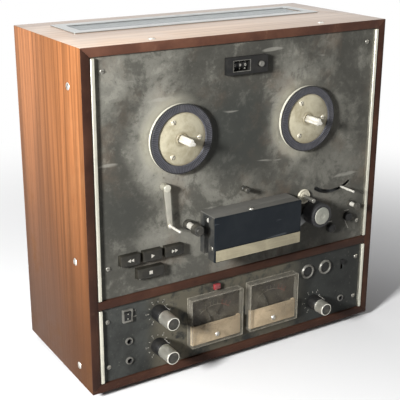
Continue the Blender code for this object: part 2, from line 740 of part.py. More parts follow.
def build_rear():
    """The slotted rear cover, and the connector panel with its line jacks and mains inlet."""
    depth = CABINET_DEPTH - REAR_INSET - REAR_SHEET / 2
    low = BOARD + PLATE_MARGIN
    high = CABINET_HEIGHT - BOARD - PLATE_MARGIN
    outlines = [rectangle(0, (low + high) / 2, 2 * (INNER_X - PLATE_MARGIN), high - low)]
    opening = (CONNECTOR_WIDTH + 2 * SEAT_GAP, CONNECTOR_HEIGHT + 2 * SEAT_GAP)
    outlines.append(rectangle(0, CONNECTOR_Z, *opening))
    slots_z = REAR_SLOTS_Z_SHARE * CABINET_HEIGHT
    for x in row_of_slots(2 * (INNER_X - REAR_SLOTS_SIDE), REAR_SLOT_PITCH):
        outlines.append(rectangle(x, slots_z, REAR_SLOT_WIDTH, REAR_SLOT_HEIGHT))
    sheet("rear_cover", outlines, REAR_SHEET, DARK_PLATE, in_cabinet(0, depth, 0))
    panel_size = (CONNECTOR_WIDTH, CONNECTOR_SHEET, CONNECTOR_HEIGHT)
    panel = box("connector_panel", panel_size, STEEL, in_cabinet(0, depth, CONNECTOR_Z))
    face = depth + CONNECTOR_SHEET / 2
    backwards = (-math.pi / 2, 0, 0)
    barrel = [(0, LINE_JACK_LENGTH), (LINE_JACK_RADIUS, LINE_JACK_LENGTH), (LINE_JACK_RADIUS, 0), (0, 0)]
    bore = [(0, LINE_JACK_LENGTH + OVERRUN), (LINE_JACK_BORE, LINE_JACK_LENGTH + OVERRUN)]
    bore += [(LINE_JACK_BORE, OVERRUN), (0, OVERRUN)]
    barrels, bores = [], []
    for x in LINE_JACKS_X:
        for side in (-1, 1):
            z = CONNECTOR_Z + side * LINE_JACK_PITCH_Z / 2
            spot = in_cabinet(x, face - CONNECTOR_SHEET / 2, z)
            barrels.append(turned("barrel", barrel, None, spot, backwards, steps=SMALL_STEPS))
            bores.append(turned("bore", bore, None, spot, backwards, steps=SCREW_STEPS))
    fuse(panel, gather("jack_barrels", barrels, None))
    cut(panel, gather("jack_bores", bores, None))
    body_size = (INLET_WIDTH, INLET_DEPTH, INLET_HEIGHT)
    body_depth = face + INLET_LIP - INLET_DEPTH / 2
    fuse(panel, box("inlet_body", body_size, None, in_cabinet(INLET_X, body_depth, CONNECTOR_Z)))
    well_size = (INLET_WIDTH - 2 * INLET_WALL, INLET_DEPTH, INLET_HEIGHT - 2 * INLET_WALL)
    well_depth = body_depth + INLET_WALL
    cut(panel, box("inlet_well", well_size, None, in_cabinet(INLET_X, well_depth, CONNECTOR_Z)))
    pin_length = INLET_DEPTH - INLET_WALL
    pin = [(0, pin_length), (INLET_PIN_RADIUS, pin_length), (INLET_PIN_RADIUS, 0), (0, 0)]
    pins = []
    for side in (-1, 1):
        x = INLET_X + side * INLET_PIN_PITCH / 2
        start = body_depth - INLET_DEPTH / 2 + INLET_WALL / 2
        spot = in_cabinet(x, start, CONNECTOR_Z)
        pins.append(turned("pin", pin, None, spot, backwards, steps=SCREW_STEPS))
    fuse(panel, gather("inlet_pins", pins, None))


def key_places():
    """Name, x, z and width of each transport key."""
    names = ("key_rewind", "key_play", "key_forward")
    x, z = KEY_ROW
    row = [(name, x + (i - 1) * KEY_PITCH, z, KEY_WIDTH) for i, name in enumerate(names)]
    return row + [("key_stop", *STOP_KEY, STOP_KEY_WIDTH)]


def build_deck_plate():
    """The upper panel, with the holes and the shallow pressed rings of the transport."""
    middle = (DECK_BOTTOM + DECK_TOP) / 2
    size = (2 * (INNER_X - PLATE_MARGIN), DECK_TOP - DECK_BOTTOM - 2 * PLATE_MARGIN)
    outlines = [rectangle(0, middle, *size)]
    for _, x in REELS:
        outlines.append(circle(x, REEL_Z, HUB_RADIUS + SHAFT_GAP))
    outlines.append(circle(*CAPSTAN, BUSH_RADIUS + SHAFT_GAP))
    outlines.append(circle(*LEFT_ARM, ARM_SHAFT_RADIUS + SHAFT_GAP))
    outlines.append(circle(*pinch_pivot(), PINCH_PIN_RADIUS + SHAFT_GAP, SMALL_STEPS))
    slot = (RIGHT_ARM, RIGHT_ARM_LENGTH, ARC_SLOT_WIDTH, -ARC_SLOT_HALF, ARC_SLOT_HALF)
    outlines.append(arc_slot(*slot))
    for _, x, z, width in key_places():
        outlines.append(rectangle(x, z, width + 2 * KEY_GAP, KEY_HEIGHT + 2 * KEY_GAP))
    for x, z in MODE_BUTTONS:
        outlines.append(circle(x, z, MODE_RADIUS + KEY_GAP, SMALL_STEPS))
    well = digit_well()
    outlines.append(rectangle(WINDOW_X, COUNTER[1], *well))
    outlines.append(circle(RESET_X, COUNTER[1], RESET_RADIUS + KEY_GAP, SMALL_STEPS))
    plate = sheet("deck_plate", outlines, PLATE, GREY_PLATE, at(0, 0, -PLATE / 2))
    dish = [(0, OVERRUN), (RECESS_RADIUS, OVERRUN), (RECESS_RADIUS, -RECESS_DEPTH), (0, -RECESS_DEPTH)]
    dishes = [turned("dish", dish, None, at(x, REEL_Z), steps=LARGE_STEPS) for _, x in REELS]
    cut(plate, gather("table_dishes", dishes, None))
    fuse(plate, trims("deck_trims", DECK_BOTTOM, DECK_TOP))
    fuse(plate, front_screws("deck_screws", [on_deck(shares) for shares in DECK_SCREWS_SHARES]))
    cue = on_deck(CUE_POST_SHARES)
    fuse(plate, post("cue_post", cue, CUE_POST_FOOT, CUE_POST_CORE, CUE_POST_CAP, None))


def build_amplifier_plate():
    """The lower panel with its trims, screws, rocker frame and bezels, and the controls fixed behind it."""
    middle = (BOARD + DIVIDER_BOTTOM) / 2
    size = (2 * (INNER_X - PLATE_MARGIN), DIVIDER_BOTTOM - BOARD - 2 * PLATE_MARGIN)
    outlines = [rectangle(0, middle, *size)]
    for spot in JACKS:
        outlines.append(circle(*spot, JACK_BARREL + SHAFT_GAP, SMALL_STEPS))
    outlines.append(rectangle(*SLIDE, SLIDE_SLOT_WIDTH, SLIDE_SLOT_HEIGHT))
    outlines.append(circle(*LAMP, LAMP_STEM + SHAFT_GAP, SMALL_STEPS))
    for spot in METERS:
        outlines.append(circle(*spot, MOVEMENT_RADIUS + SHAFT_GAP))
    plate = sheet("amplifier_plate", outlines, PLATE, DARK_PLATE, at(0, 0, -PLATE / 2))
    fuse(plate, trims("amplifier_trims", BOARD, DIVIDER_BOTTOM))
    screws = [on_amplifier(shares) for shares in AMPLIFIER_SCREWS_SHARES]
    fuse(plate, front_screws("amplifier_screws", screws))
    x, z = ROCKER
    frame = (ROCKER_FRAME_WIDTH, ROCKER_FRAME_HEIGHT)
    fuse(plate, front_box("rocker_frame", frame, None, x, z, -PLATE / 2, ROCKER_FRAME_PROUD))
    opening = (ROCKER_WIDTH + 2 * SEAT_GAP, ROCKER_HEIGHT + 2 * ROCKER_ROOM)
    through = (-PLATE - OVERRUN, ROCKER_FRAME_PROUD + OVERRUN)
    cut(plate, front_box("rocker_opening", opening, None, x, z, *through))
    fuse(plate, gather("bezels", [bezel(*spot) for spot in RECORD_BUTTONS], None))
    bores = [rod("bore", BEZEL_BORE, None, *spot, *through) for spot in RECORD_BUTTONS]
    controls = [*INPUT_KNOBS, OUTPUT_KNOB]
    pot_back = -PLATE - POT_LENGTH
    pots = [rod("pot", POT_RADIUS, None, *spot, pot_back, -PLATE / 2, SMALL_STEPS) for spot in controls]
    fuse(plate, gather("potentiometers", pots, None))
    for spot in controls:
        bores.append(turned("pot_bore", pot_bore(), None, at(*spot), steps=SMALL_STEPS))
    cut(plate, gather("plate_bores", bores, None))


def bezel(x, z):
    """The raised silver ring round a record button, solid until its bore is cut."""
    profile = [(0, BEZEL_PROUD), (BEZEL_RADIUS - TABLE_EDGE, BEZEL_PROUD), (BEZEL_RADIUS, 0)]
    profile += [(BEZEL_RADIUS, -PLATE / 2), (0, -PLATE / 2)]
    return turned("bezel", profile, None, at(x, z))


def pot_bore():
    """The stepped bore for a ring's sleeve and, deeper, for the knob's shaft."""
    sleeve, shaft = RING_SLEEVE + SHAFT_GAP, KNOB_SHAFT + SHAFT_GAP
    step, end = -RING_SLEEVE_LENGTH - SEAT_GAP, -KNOB_SHAFT_LENGTH - SEAT_GAP
    return [(0, OVERRUN), (sleeve, OVERRUN), (sleeve, step), (shaft, step), (shaft, end), (0, end)]


def trims(name, low, high):
    """The pale strips down both sides of a panel, for fusing to it."""
    strips = []
    for side in (-1, 1):
        x = side * (INNER_X - TRIM_SIDE_GAP - TRIM_WIDTH / 2)
        size = (TRIM_WIDTH, high - low - 2 * TRIM_END_GAP)
        strips.append(front_box("trim", size, None, x, (low + high) / 2, -PLATE / 2, TRIM_PROUD, TRIM_EDGE))
    return gather(name, strips, None)


def screw_head(location, rotation):
    """A low domed head for fusing to the surface at its place."""
    across, up = SCREW_CROWN_SHARES
    profile = [(0, SCREW_HEAD), (SCREW_RADIUS * across, SCREW_HEAD * up), (SCREW_RADIUS, 0)]
    profile += [(SCREW_RADIUS, -SCREW_HEAD), (0, -SCREW_HEAD)]
    return turned("screw", profile, None, location, rotation, steps=SCREW_STEPS)


def front_screws(name, places):
    return gather(name, [screw_head(at(x, z), TOWARDS_USER) for x, z in places], None)


def build_chassis():
    """The steel pan behind the deck plate, with the three motors bolted to it."""
    low = DECK_BOTTOM + SEAT_GAP
    high = DECK_TOP - SEAT_GAP
    size = (2 * (INNER_X - SEAT_GAP), high - low)
    front = -PLATE - SEAT_GAP
    back = CHASSIS_OUT - CHASSIS_SHEET
    pan = front_box("chassis", size, STEEL, 0, (low + high) / 2, back, front)
    inside = (size[0] - 2 * CHASSIS_SHEET, size[1] - 2 * CHASSIS_SHEET)
    cut(pan, front_box("pan_cutter", inside, None, 0, (low + high) / 2, CHASSIS_OUT, OVERRUN))
    places = [(x, REEL_Z) for _, x in REELS] + [CAPSTAN_MOTOR]
    fuse(pan, gather("motors", [motor(*spot) for spot in places], None))
    pin = ARM_SHAFT_RADIUS + SHAFT_GAP
    through = (back - OVERRUN, CHASSIS_OUT + OVERRUN)
    holes = [(*CAPSTAN, BUSH_RADIUS + SHAFT_GAP, *through)]
    holes += [(*spot, pin, *through) for spot in (LEFT_ARM, RIGHT_ARM)]
    holes.append((*pinch_pivot(), PINCH_PIN_RADIUS + SHAFT_GAP, *through))
    shaft_end = MOTOR_OUT - REEL_SHAFT_REACH - SEAT_GAP
    shaft = REEL_SHAFT_RADIUS + SHAFT_GAP
    holes += [(x, REEL_Z, shaft, shaft_end, CHASSIS_OUT + OVERRUN) for _, x in REELS]
    rear_end = MOTOR_END - MOTOR_BOSS
    rear = (rear_end - OVERRUN, rear_end + PULLEY_SHAFT_REACH + SEAT_GAP)
    holes.append((*CAPSTAN_MOTOR, PULLEY_SHAFT_RADIUS + SHAFT_GAP, *rear))
    drills = [rod("drill", r, None, x, z, start, end, SMALL_STEPS) for x, z, r, start, end in holes]
    cut(pan, gather("chassis_holes", drills, None))


def motor(x, z):
    """A motor's can with its end bell and rear boss."""
    rim = MOTOR_RADIUS - MOTOR_BELL
    back = -MOTOR_LENGTH
    profile = [(0, CHASSIS_SHEET / 2), (rim, CHASSIS_SHEET / 2), (rim, 0), (MOTOR_RADIUS, -MOTOR_BELL)]
    profile += [(MOTOR_RADIUS, back + MOTOR_BELL), (rim, back), (MOTOR_BOSS_RADIUS, back)]
    profile += [(MOTOR_BOSS_RADIUS, back - MOTOR_BOSS), (0, back - MOTOR_BOSS)]
    return turned("motor", profile, None, at(x, z, MOTOR_OUT))


def lobed_outline(steps=LOBE_STEPS):
    """Cross-section of the spindle: a round core that swells into three lobes."""
    outline = []
    for i in range(steps):
        angle = 2 * math.pi * i / steps
        radius = SPINDLE_RADIUS + SPINDLE_LOBE * math.cos(SPINDLE_LOBES * (angle - math.pi / 2))
        outline.append((radius * math.cos(angle), radius * math.sin(angle)))
    return outline


def build_reel_tables():
    """Each reel table with its disc, shaft and lobed spindle, and the cap that locks a reel on it."""
    shaft_end = MOTOR_OUT - REEL_SHAFT_REACH
    profile = [(0, DISC_HEIGHT), (DISC_RADIUS, DISC_HEIGHT), (DISC_RADIUS + TABLE_EDGE, TABLE_HEIGHT)]
    profile += [(TABLE_RADIUS - TABLE_EDGE, TABLE_HEIGHT), (TABLE_RADIUS, TABLE_HEIGHT - TABLE_EDGE)]
    profile += [(TABLE_RADIUS, TABLE_BACK + TABLE_EDGE), (TABLE_RADIUS - TABLE_EDGE, TABLE_BACK)]
    profile += [(HUB_RADIUS, TABLE_BACK), (HUB_RADIUS, CHASSIS_OUT + SEAT_GAP)]
    profile += [(REEL_SHAFT_RADIUS, CHASSIS_OUT + SEAT_GAP), (REEL_SHAFT_RADIUS, shaft_end), (0, shaft_end)]
    for name, x in REELS:
        table = turned(f"{name}_reel_table", profile, CREAM, at(x, REEL_Z), steps=LARGE_STEPS)
        length = SPINDLE_LENGTH - DISC_HEIGHT + OVERRUN
        middle = SPINDLE_LENGTH - length / 2
        spindle = sheet(f"{name}_spindle", [lobed_outline()], length, None, at(x, REEL_Z, middle))
        fuse(table, spindle)
        pin_end = SPINDLE_LENGTH + SEAT_GAP + CAP_PIN_LENGTH
        start = SPINDLE_LENGTH - OVERRUN
        fuse(table, rod(f"{name}_cap_pin", CAP_PIN_RADIUS, None, x, REEL_Z, start, pin_end, SMALL_STEPS))
        heads = []
        for i in range(DISC_SCREWS):
            angle = DISC_SCREW_TURN + 2 * math.pi * i / DISC_SCREWS
            hx = x + DISC_SCREW_CIRCLE * math.cos(angle)
            hz = REEL_Z + DISC_SCREW_CIRCLE * math.sin(angle)
            heads.append((hx, hz))
        top = DISC_HEIGHT + DISC_SCREW_HEAD
        low = DISC_HEIGHT - OVERRUN
        rods = [rod("head", DISC_SCREW_RADIUS, None, hx, hz, low, top, SMALL_STEPS) for hx, hz in heads]
        fuse(table, gather(f"{name}_disc_screws", rods, None))
        cap_middle = SPINDLE_LENGTH + SEAT_GAP + CAP_LENGTH / 2
        cap = sheet(f"{name}_spindle_cap", [lobed_outline()], CAP_LENGTH, SILVER, at(x, REEL_Z, cap_middle))
        bore_end = pin_end + SEAT_GAP
        bore = CAP_PIN_RADIUS + SHAFT_GAP
        cut(cap, rod(f"{name}_cap_bore", bore, None, x, REEL_Z, start, bore_end, SMALL_STEPS))


def build_capstan():
    """The capstan bearing, the capstan with its flywheel, and the motor pulley and belt that turn it."""
    x, z = CAPSTAN
    bore = CAPSTAN_RADIUS + SHAFT_GAP
    profile = [(bore, BUSH_FLANGE), (BUSH_FLANGE_RADIUS - TABLE_EDGE, BUSH_FLANGE)]
    profile += [(BUSH_FLANGE_RADIUS, BUSH_FLANGE - TABLE_EDGE), (BUSH_FLANGE_RADIUS, SEAT_GAP)]
    profile += [(BUSH_RADIUS, SEAT_GAP), (BUSH_RADIUS, -BUSH_END), (bore, -BUSH_END)]
    turned("capstan_bush", profile, CREAM, at(x, z), ring=True)
    rim = FLYWHEEL_RADIUS - FLYWHEEL_RIM
    web_front = FLYWHEEL_OUT - (FLYWHEEL_WIDTH - FLYWHEEL_WEB) / 2
    web_back = web_front - FLYWHEEL_WEB
    profile = [(0, CAPSTAN_LENGTH), (CAPSTAN_RADIUS, CAPSTAN_LENGTH), (CAPSTAN_RADIUS, web_front)]
    profile.append((rim, web_front))
    profile += [(rim, FLYWHEEL_OUT), (FLYWHEEL_RADIUS, FLYWHEEL_OUT), (FLYWHEEL_RADIUS, FLYWHEEL_BACK)]
    profile += [(rim, FLYWHEEL_BACK), (rim, web_back), (FLYWHEEL_HUB, web_back)]
    profile += [(FLYWHEEL_HUB, FLYWHEEL_BACK), (0, FLYWHEEL_BACK)]
    turned("capstan", profile, STEEL, at(x, z), steps=LARGE_STEPS)
    mx, mz = CAPSTAN_MOTOR
    end = MOTOR_END - MOTOR_BOSS
    lip = PULLEY_RADIUS + PULLEY_FLANGE
    groove = (FLYWHEEL_WIDTH - BELT_WIDTH) / 2 - PULLEY_FLANGE
    profile = [(0, end + PULLEY_SHAFT_REACH), (PULLEY_SHAFT_RADIUS, end + PULLEY_SHAFT_REACH)]
    profile += [(PULLEY_SHAFT_RADIUS, FLYWHEEL_OUT), (lip, FLYWHEEL_OUT), (lip, FLYWHEEL_OUT - groove)]
    profile += [(PULLEY_RADIUS, FLYWHEEL_OUT - groove - PULLEY_FLANGE)]
    profile += [(PULLEY_RADIUS, FLYWHEEL_BACK + groove + PULLEY_FLANGE), (lip, FLYWHEEL_BACK + groove)]
    profile += [(lip, FLYWHEEL_BACK), (0, FLYWHEEL_BACK)]
    turned("capstan_pulley", profile, SILVER, at(mx, mz))
    belt_out = (FLYWHEEL_OUT + FLYWHEEL_BACK) / 2
    inner = belt_path(SEAT_GAP)
    outer = belt_path(SEAT_GAP + BELT_THICKNESS)
    sheet("capstan_belt", [outer, inner], BELT_WIDTH, RUBBER, at(0, 0, belt_out))


def belt_path(grow):
    """Outline of a belt round the flywheel and the pulley, each grown by the same amount."""
    big, small = Vector(CAPSTAN), Vector(CAPSTAN_MOTOR)
    along = small - big
    heading = math.atan2(along.y, along.x)
    spread = math.acos((FLYWHEEL_RADIUS - PULLEY_RADIUS) / along.length)
    path = []
    arc = 2 * math.pi - 2 * spread
    for i in range(STEPS + 1):
        angle = heading + spread + arc * i / STEPS
        path.append(big + (FLYWHEEL_RADIUS + grow) * Vector((math.cos(angle), math.sin(angle))))
    for i in range(SMALL_STEPS + 1):
        angle = heading - spread + 2 * spread * i / SMALL_STEPS
        path.append(small + (PULLEY_RADIUS + grow) * Vector((math.cos(angle), math.sin(angle))))
    return [(point.x, point.y) for point in path]


def pinch_pivot():
    """The pinch arm's pivot, placed so that the roller swings straight at the capstan."""
    towards = (Vector(CAPSTAN) - Vector(ROLLER)).normalized()
    square = Vector((-towards.y, towards.x))
    return tuple(Vector(ROLLER) + square * PINCH_ARM_LENGTH)


def arm_outline(start, end, start_width, end_width, steps=SMALL_STEPS // 2):
    """A tapered arm with round ends, between two points on the front."""
    first, last = Vector(start), Vector(end)
    heading = math.atan2((last - first).y, (last - first).x)
    outline = []
    for centre, width, turn in ((first, start_width, math.pi / 2), (last, end_width, -math.pi / 2)):
        for i in range(steps + 1):
            angle = heading + turn + math.pi * i / steps
            outline.append(tuple(centre + width / 2 * Vector((math.cos(angle), math.sin(angle)))))
    return outline


def local_sheet(name, outline, origin, thickness, look, middle_out):
    """A sheet whose object origin lies at the given place on the front, such as its pivot."""
    ox, oz = origin
    moved = [(x - ox, z - oz) for x, z in outline]
    return sheet(name, [moved], thickness, look, at(ox, oz, middle_out))


def build_pinch_roller():
    """The arm on the plate that swings the roller against the capstan, and the roller on its stud."""
    pivot = pinch_pivot()
    blade = arm_outline(pivot, ROLLER, PINCH_ARM_WIDTH, PINCH_ARM_WIDTH)
    middle = PINCH_ARM_OUT + PINCH_ARM_SHEET / 2
    arm = local_sheet("pinch_arm", blade, pivot, PINCH_ARM_SHEET, STEEL, middle)
    cap_inside = ROLLER_CAP_FRONT - ROLLER_CAP_WALL
    fuse(arm, rod("stud", STUD_RADIUS, None, *ROLLER, middle, cap_inside - SEAT_GAP, SMALL_STEPS))
    pin_end = CHASSIS_OUT - CHASSIS_SHEET
    fuse(arm, rod("pinch_pin", PINCH_PIN_RADIUS, None, *pivot, pin_end, middle, SMALL_STEPS))
    bore = STUD_RADIUS + SHAFT_GAP
    profile = [(0, cap_inside), (bore, cap_inside), (bore, ROLLER_BACK)]
    profile += [(ROLLER_RADIUS - ROLLER_EDGE, ROLLER_BACK), (ROLLER_RADIUS, ROLLER_BACK + ROLLER_EDGE)]
    profile += [(ROLLER_RADIUS, ROLLER_FRONT - ROLLER_EDGE), (ROLLER_RADIUS - ROLLER_EDGE, ROLLER_FRONT)]
    profile += [(ROLLER_CAP_RADIUS, ROLLER_FRONT), (ROLLER_CAP_RADIUS, ROLLER_CAP_FRONT - ROLLER_EDGE)]
    profile += [(ROLLER_CAP_RADIUS - ROLLER_EDGE, ROLLER_CAP_FRONT), (0, ROLLER_CAP_FRONT)]
    turned("pinch_roller", profile, RUBBER, at(*ROLLER), steps=LARGE_STEPS)


def arm_end(pivot, length, angle):
    """The far end of an arm that hangs at an angle from straight down, counted to the right."""
    return (pivot[0] + length * math.sin(angle), pivot[1] - length * math.cos(angle))


def build_tension_arms():
    """The left arm on the face of the deck, and the right arm whose pin comes through the curved slot."""
    shaft_end = CHASSIS_OUT - CHASSIS_SHEET
    tip = arm_end(LEFT_ARM, LEFT_ARM_LENGTH, LEFT_ARM_ANGLE)
    boss = [(0, ARM_BOSS_FRONT), (ARM_BOSS_RADIUS - TABLE_EDGE, ARM_BOSS_FRONT)]
    boss += [(ARM_BOSS_RADIUS, ARM_BOSS_FRONT - TABLE_EDGE), (ARM_BOSS_RADIUS, ARM_BOSS_BACK)]
    boss += [(ARM_SHAFT_RADIUS, ARM_BOSS_BACK), (ARM_SHAFT_RADIUS, shaft_end), (0, shaft_end)]
    left = turned("left_tension_arm", boss, SILVER, at(*LEFT_ARM))
    blade = arm_outline(LEFT_ARM, tip, ARM_WIDTH, ARM_TIP_WIDTH)
    middle = ARM_OUT + ARM_SHEET / 2
    fuse(left, local_sheet("left_blade", blade, LEFT_ARM, ARM_SHEET, None, middle))
    fuse(left, rod("left_pin", ARM_PIN_RADIUS, None, *tip, middle, LEFT_PIN_TIP, SMALL_STEPS))
    tip = arm_end(RIGHT_ARM, RIGHT_ARM_LENGTH, RIGHT_ARM_ANGLE)
    blade = arm_outline(RIGHT_ARM, tip, ARM_WIDTH + 2 * ARM_SHEET, ARM_TIP_WIDTH)
    middle = RIGHT_ARM_OUT + ARM_SHEET / 2
    right = local_sheet("right_tension_arm", blade, RIGHT_ARM, ARM_SHEET, SILVER, middle)
    fuse(right, rod("right_shaft", ARM_SHAFT_RADIUS, None, *RIGHT_ARM, shaft_end, middle, SMALL_STEPS))
    fuse(right, rod("right_pin", ARM_PIN_RADIUS, None, *tip, middle, RIGHT_PIN_TIP, SMALL_STEPS))


def build_heads():
    """The head housing and its cover, with the tape slot between them, and the heads in the slot."""
    height = HOUSING_TOP - HOUSING_BOTTOM
    back_height = height - BACK_RISE
    back_z = HOUSING_TOP - back_height / 2
    size = (HOUSING_WIDTH, back_height)
    housing = front_box("head_housing", size, HOUSING_GREY, HOUSING_X, back_z, SEAT_GAP, HOUSING_BACK)
    roof_z = HOUSING_TOP - HOUSING_ROOF / 2
    roof = (HOUSING_WIDTH, HOUSING_ROOF)
    roof_front = COVER_BACK - SEAT_GAP
    fuse(housing, front_box("roof", roof, None, HOUSING_X, roof_z, HOUSING_BACK / 2, roof_front))
    span = (HOUSING_BACK / 2, COVER_BACK - SEAT_GAP)
    guides = []
    for share in SLOT_GUIDES_X_SHARES:
        spot = (share * INNER_X, HOUSING_TOP - GUIDE_DROP)
        guides.append(rod("slot_guide", SLOT_GUIDE_RADIUS, None, *spot, *span, SMALL_STEPS))
    fuse(housing, gather("slot_guides", guides, None))
    middle_z = (HOUSING_TOP + HOUSING_BOTTOM) / 2
    whole = (HOUSING_WIDTH, height)
    cover = (whole, HOUSING_GREY, HOUSING_X, middle_z, COVER_BACK, HOUSING_DEPTH, HOUSING_EDGE)
    shell = front_box("head_cover", *cover)
    inside = (HOUSING_WIDTH - 2 * COVER_WALL, height - 2 * COVER_WALL)
    hollow_front = HOUSING_DEPTH - COVER_WALL
    hollow = (inside, None, HOUSING_X, middle_z, COVER_BACK - OVERRUN, hollow_front)
    cut(shell, front_box("cover_hollow", *hollow))
    middle_out = (COVER_BACK + HOUSING_DEPTH) / 2
    end = at(HOUSING_LEFT, HOUSING_BOTTOM + COVER_SCREW_RISE, middle_out)
    roof_spot = at(COVER_SCREW_X_SHARE * INNER_X, HOUSING_TOP, middle_out)
    heads = [screw_head(roof_spot, (0, 0, 0))]
    heads.append(screw_head(end, (0, -math.pi / 2, 0)))
    fuse(shell, gather("cover_screws", heads, None))
    strip_size = (HOUSING_WIDTH - 2 * STRIP_MARGIN, STRIP_HEIGHT)
    strip_z = HOUSING_BOTTOM + STRIP_MARGIN + STRIP_HEIGHT / 2
    strip_back = HOUSING_DEPTH + SEAT_GAP
    strip = (strip_size, CHAMPAGNE, HOUSING_X, strip_z, strip_back, strip_back + STRIP_SHEET)
    front_box("head_cover_strip", *strip)
    bar_top = HOUSING_TOP - HOUSING_ROOF - SEAT_GAP
    slot_middle = (HOUSING_BACK + COVER_BACK) / 2
    back, front = slot_middle - HEAD_DEPTH / 2, slot_middle + HEAD_DEPTH / 2
    line = HOUSING_TOP - HEAD_DROP
    bar_size = (HEADS_X[2] - HEADS_X[0] + 2 * HEAD_BAR_END, HEAD_BAR)
    heads = front_box("tape_heads", bar_size, SILVER, HEADS_X[1], bar_top - HEAD_BAR / 2, back, front)
    radius = HEAD_WIDTH / 2
    for i, x in enumerate(HEADS_X):
        outline = [(x - radius, bar_top - HEAD_BAR / 2), (x - radius, line + radius / 2)]
        for step in range(1, SMALL_STEPS // 2):
            angle = math.pi * step / (SMALL_STEPS // 2)
            dip = radius / 2 * (1 - math.sin(angle))
            outline.append((x - radius * math.cos(angle), line + dip))
        outline += [(x + radius, line + radius / 2), (x + radius, bar_top - HEAD_BAR / 2)]
        depth = HEAD_DEPTH - 2 * BOARD_EDGE
        fuse(heads, sheet(f"head_{i}", [outline], depth, None, at(0, 0, slot_middle)))


def post(name, place_xz, foot, core, cap, look):
    """A flanged tape guide from three (radius, front) steps."""
    base = SEAT_GAP if look else -PLATE / 2
    profile = [(0, cap[1]), (cap[0] - TABLE_EDGE, cap[1]), (cap[0], cap[1] - TABLE_EDGE), (cap[0], core[1])]
    profile += [(core[0], core[1]), (core[0], foot[1]), (foot[0], foot[1]), (foot[0], base), (0, base)]
    return turned(name, profile, look, at(*place_xz), steps=SMALL_STEPS)


def build_guides():
    """The two fixed posts that lead the tape to and from the transport."""
    left, right = on_deck(LEFT_GUIDE_SHARES), on_deck(RIGHT_GUIDE_SHARES)
    post("left_guide", left, LEFT_GUIDE_FOOT, LEFT_GUIDE_CORE, LEFT_GUIDE_CAP, SILVER)
    post("right_guide", right, RIGHT_GUIDE_FOOT, RIGHT_GUIDE_CORE, RIGHT_GUIDE_CAP, SILVER)


def digit_well():
    """Width and height of the plate's hole round the counter's wheels and cheeks."""
    chord = math.sqrt(DIGIT_RADIUS ** 2 - (DIGIT_DROP - PLATE) ** 2)
    width = DIGIT_PITCH * (DIGITS - 1) + DIGIT_WIDTH + 2 * (2 * SEAT_GAP + CHEEK)
    return width, 2 * (chord + KEY_GAP)


def build_counter():
    """The counter's housing with its window and cheeks, three digit wheels on one axle, and the reset."""
    cx, cz = COUNTER
    size = (COUNTER_WIDTH, COUNTER_HEIGHT)
    housing = ("counter_housing", size, BLACK, cx, cz, SEAT_GAP, COUNTER_PROUD, COUNTER_EDGE)
    shell = front_box(*housing)
    window = (WINDOW_WIDTH, WINDOW_HEIGHT)
    cut(shell, front_box("window_cutter", window, None, WINDOW_X, cz, -OVERRUN, COUNTER_PROUD + OVERRUN))
    width, _ = digit_well()
    reach = DIGIT_DROP + CHEEK_HEIGHT / 2
    for side in (-1, 1):
        x = WINDOW_X + side * (width / 2 - SEAT_GAP - CHEEK / 2)
        cheek = front_box("cheek", (CHEEK, CHEEK_HEIGHT), None, x, cz, -reach, COUNTER_PROUD / 2)
        fuse(shell, cheek)
    axle_length = width - 2 * SEAT_GAP - CHEEK
    axle = [(0, axle_length / 2), (DIGIT_AXLE, axle_length / 2), (DIGIT_AXLE, -axle_length / 2)]
    axle.append((0, -axle_length / 2))
    across = (0, math.pi / 2, 0)
    fuse(shell, turned("digit_axle", axle, None, at(WINDOW_X, cz, -DIGIT_DROP), across, SCREW_STEPS))
    bore = RESET_RADIUS + KEY_GAP
    cut(shell, rod("reset_bore", bore, None, RESET_X, cz, -OVERRUN, COUNTER_PROUD + OVERRUN, SMALL_STEPS))
    half = DIGIT_WIDTH / 2
    wheel_bore = DIGIT_AXLE + SHAFT_GAP
    wheel = [(wheel_bore, half), (DIGIT_RADIUS, half), (DIGIT_RADIUS, -half), (wheel_bore, -half)]
    for i in range(DIGITS):
        x = WINDOW_X + (i - (DIGITS - 1) / 2) * DIGIT_PITCH
        spot = at(x, cz, -DIGIT_DROP)
        turned(f"counter_wheel_{i + 1}", wheel, BLACK, spot, across, steps=2 * DIGIT_SIDES, ring=True)
    button = [(0, RESET_PROUD), (RESET_RADIUS - TABLE_EDGE, RESET_PROUD)]
    button += [(RESET_RADIUS, RESET_PROUD - TABLE_EDGE), (RESET_RADIUS, -2 * RESET_RADIUS)]
    button.append((0, -2 * RESET_RADIUS))
    turned("counter_reset", button, SILVER, at(RESET_X, cz), steps=SMALL_STEPS)


def build_keys():
    """The four transport keys, each with a flange behind the plate that holds it in."""
    flange_front = -PLATE - SEAT_GAP
    for name, x, z, width in key_places():
        key = front_box(name, (width, KEY_HEIGHT), BLACK, x, z, -KEY_DEPTH, KEY_PROUD, KEY_EDGE)
        size = (width + 2 * KEY_FLANGE, KEY_HEIGHT + 2 * KEY_FLANGE)
        flange_back = flange_front - KEY_FLANGE
        fuse(key, front_box(f"{name}_flange", size, None, x, z, flange_back, flange_front))


def build_mode_buttons():
    """The two round black buttons at the lower right of the deck."""
    flange = MODE_RADIUS + KEY_FLANGE
    flange_front = -PLATE - SEAT_GAP
    profile = [(0, MODE_PROUD), (MODE_RADIUS - MODE_EDGE, MODE_PROUD)]
    profile += [(MODE_RADIUS, MODE_PROUD - MODE_EDGE), (MODE_RADIUS, flange_front)]
    profile += [(flange, flange_front), (flange, flange_front - KEY_FLANGE)]
    profile += [(MODE_RADIUS, flange_front - KEY_FLANGE), (MODE_RADIUS, -MODE_DEPTH), (0, -MODE_DEPTH)]
    for name, spot in zip(("upper_mode_button", "lower_mode_button"), MODE_BUTTONS):
        turned(name, profile, BLACK, at(*spot), steps=SMALL_STEPS)


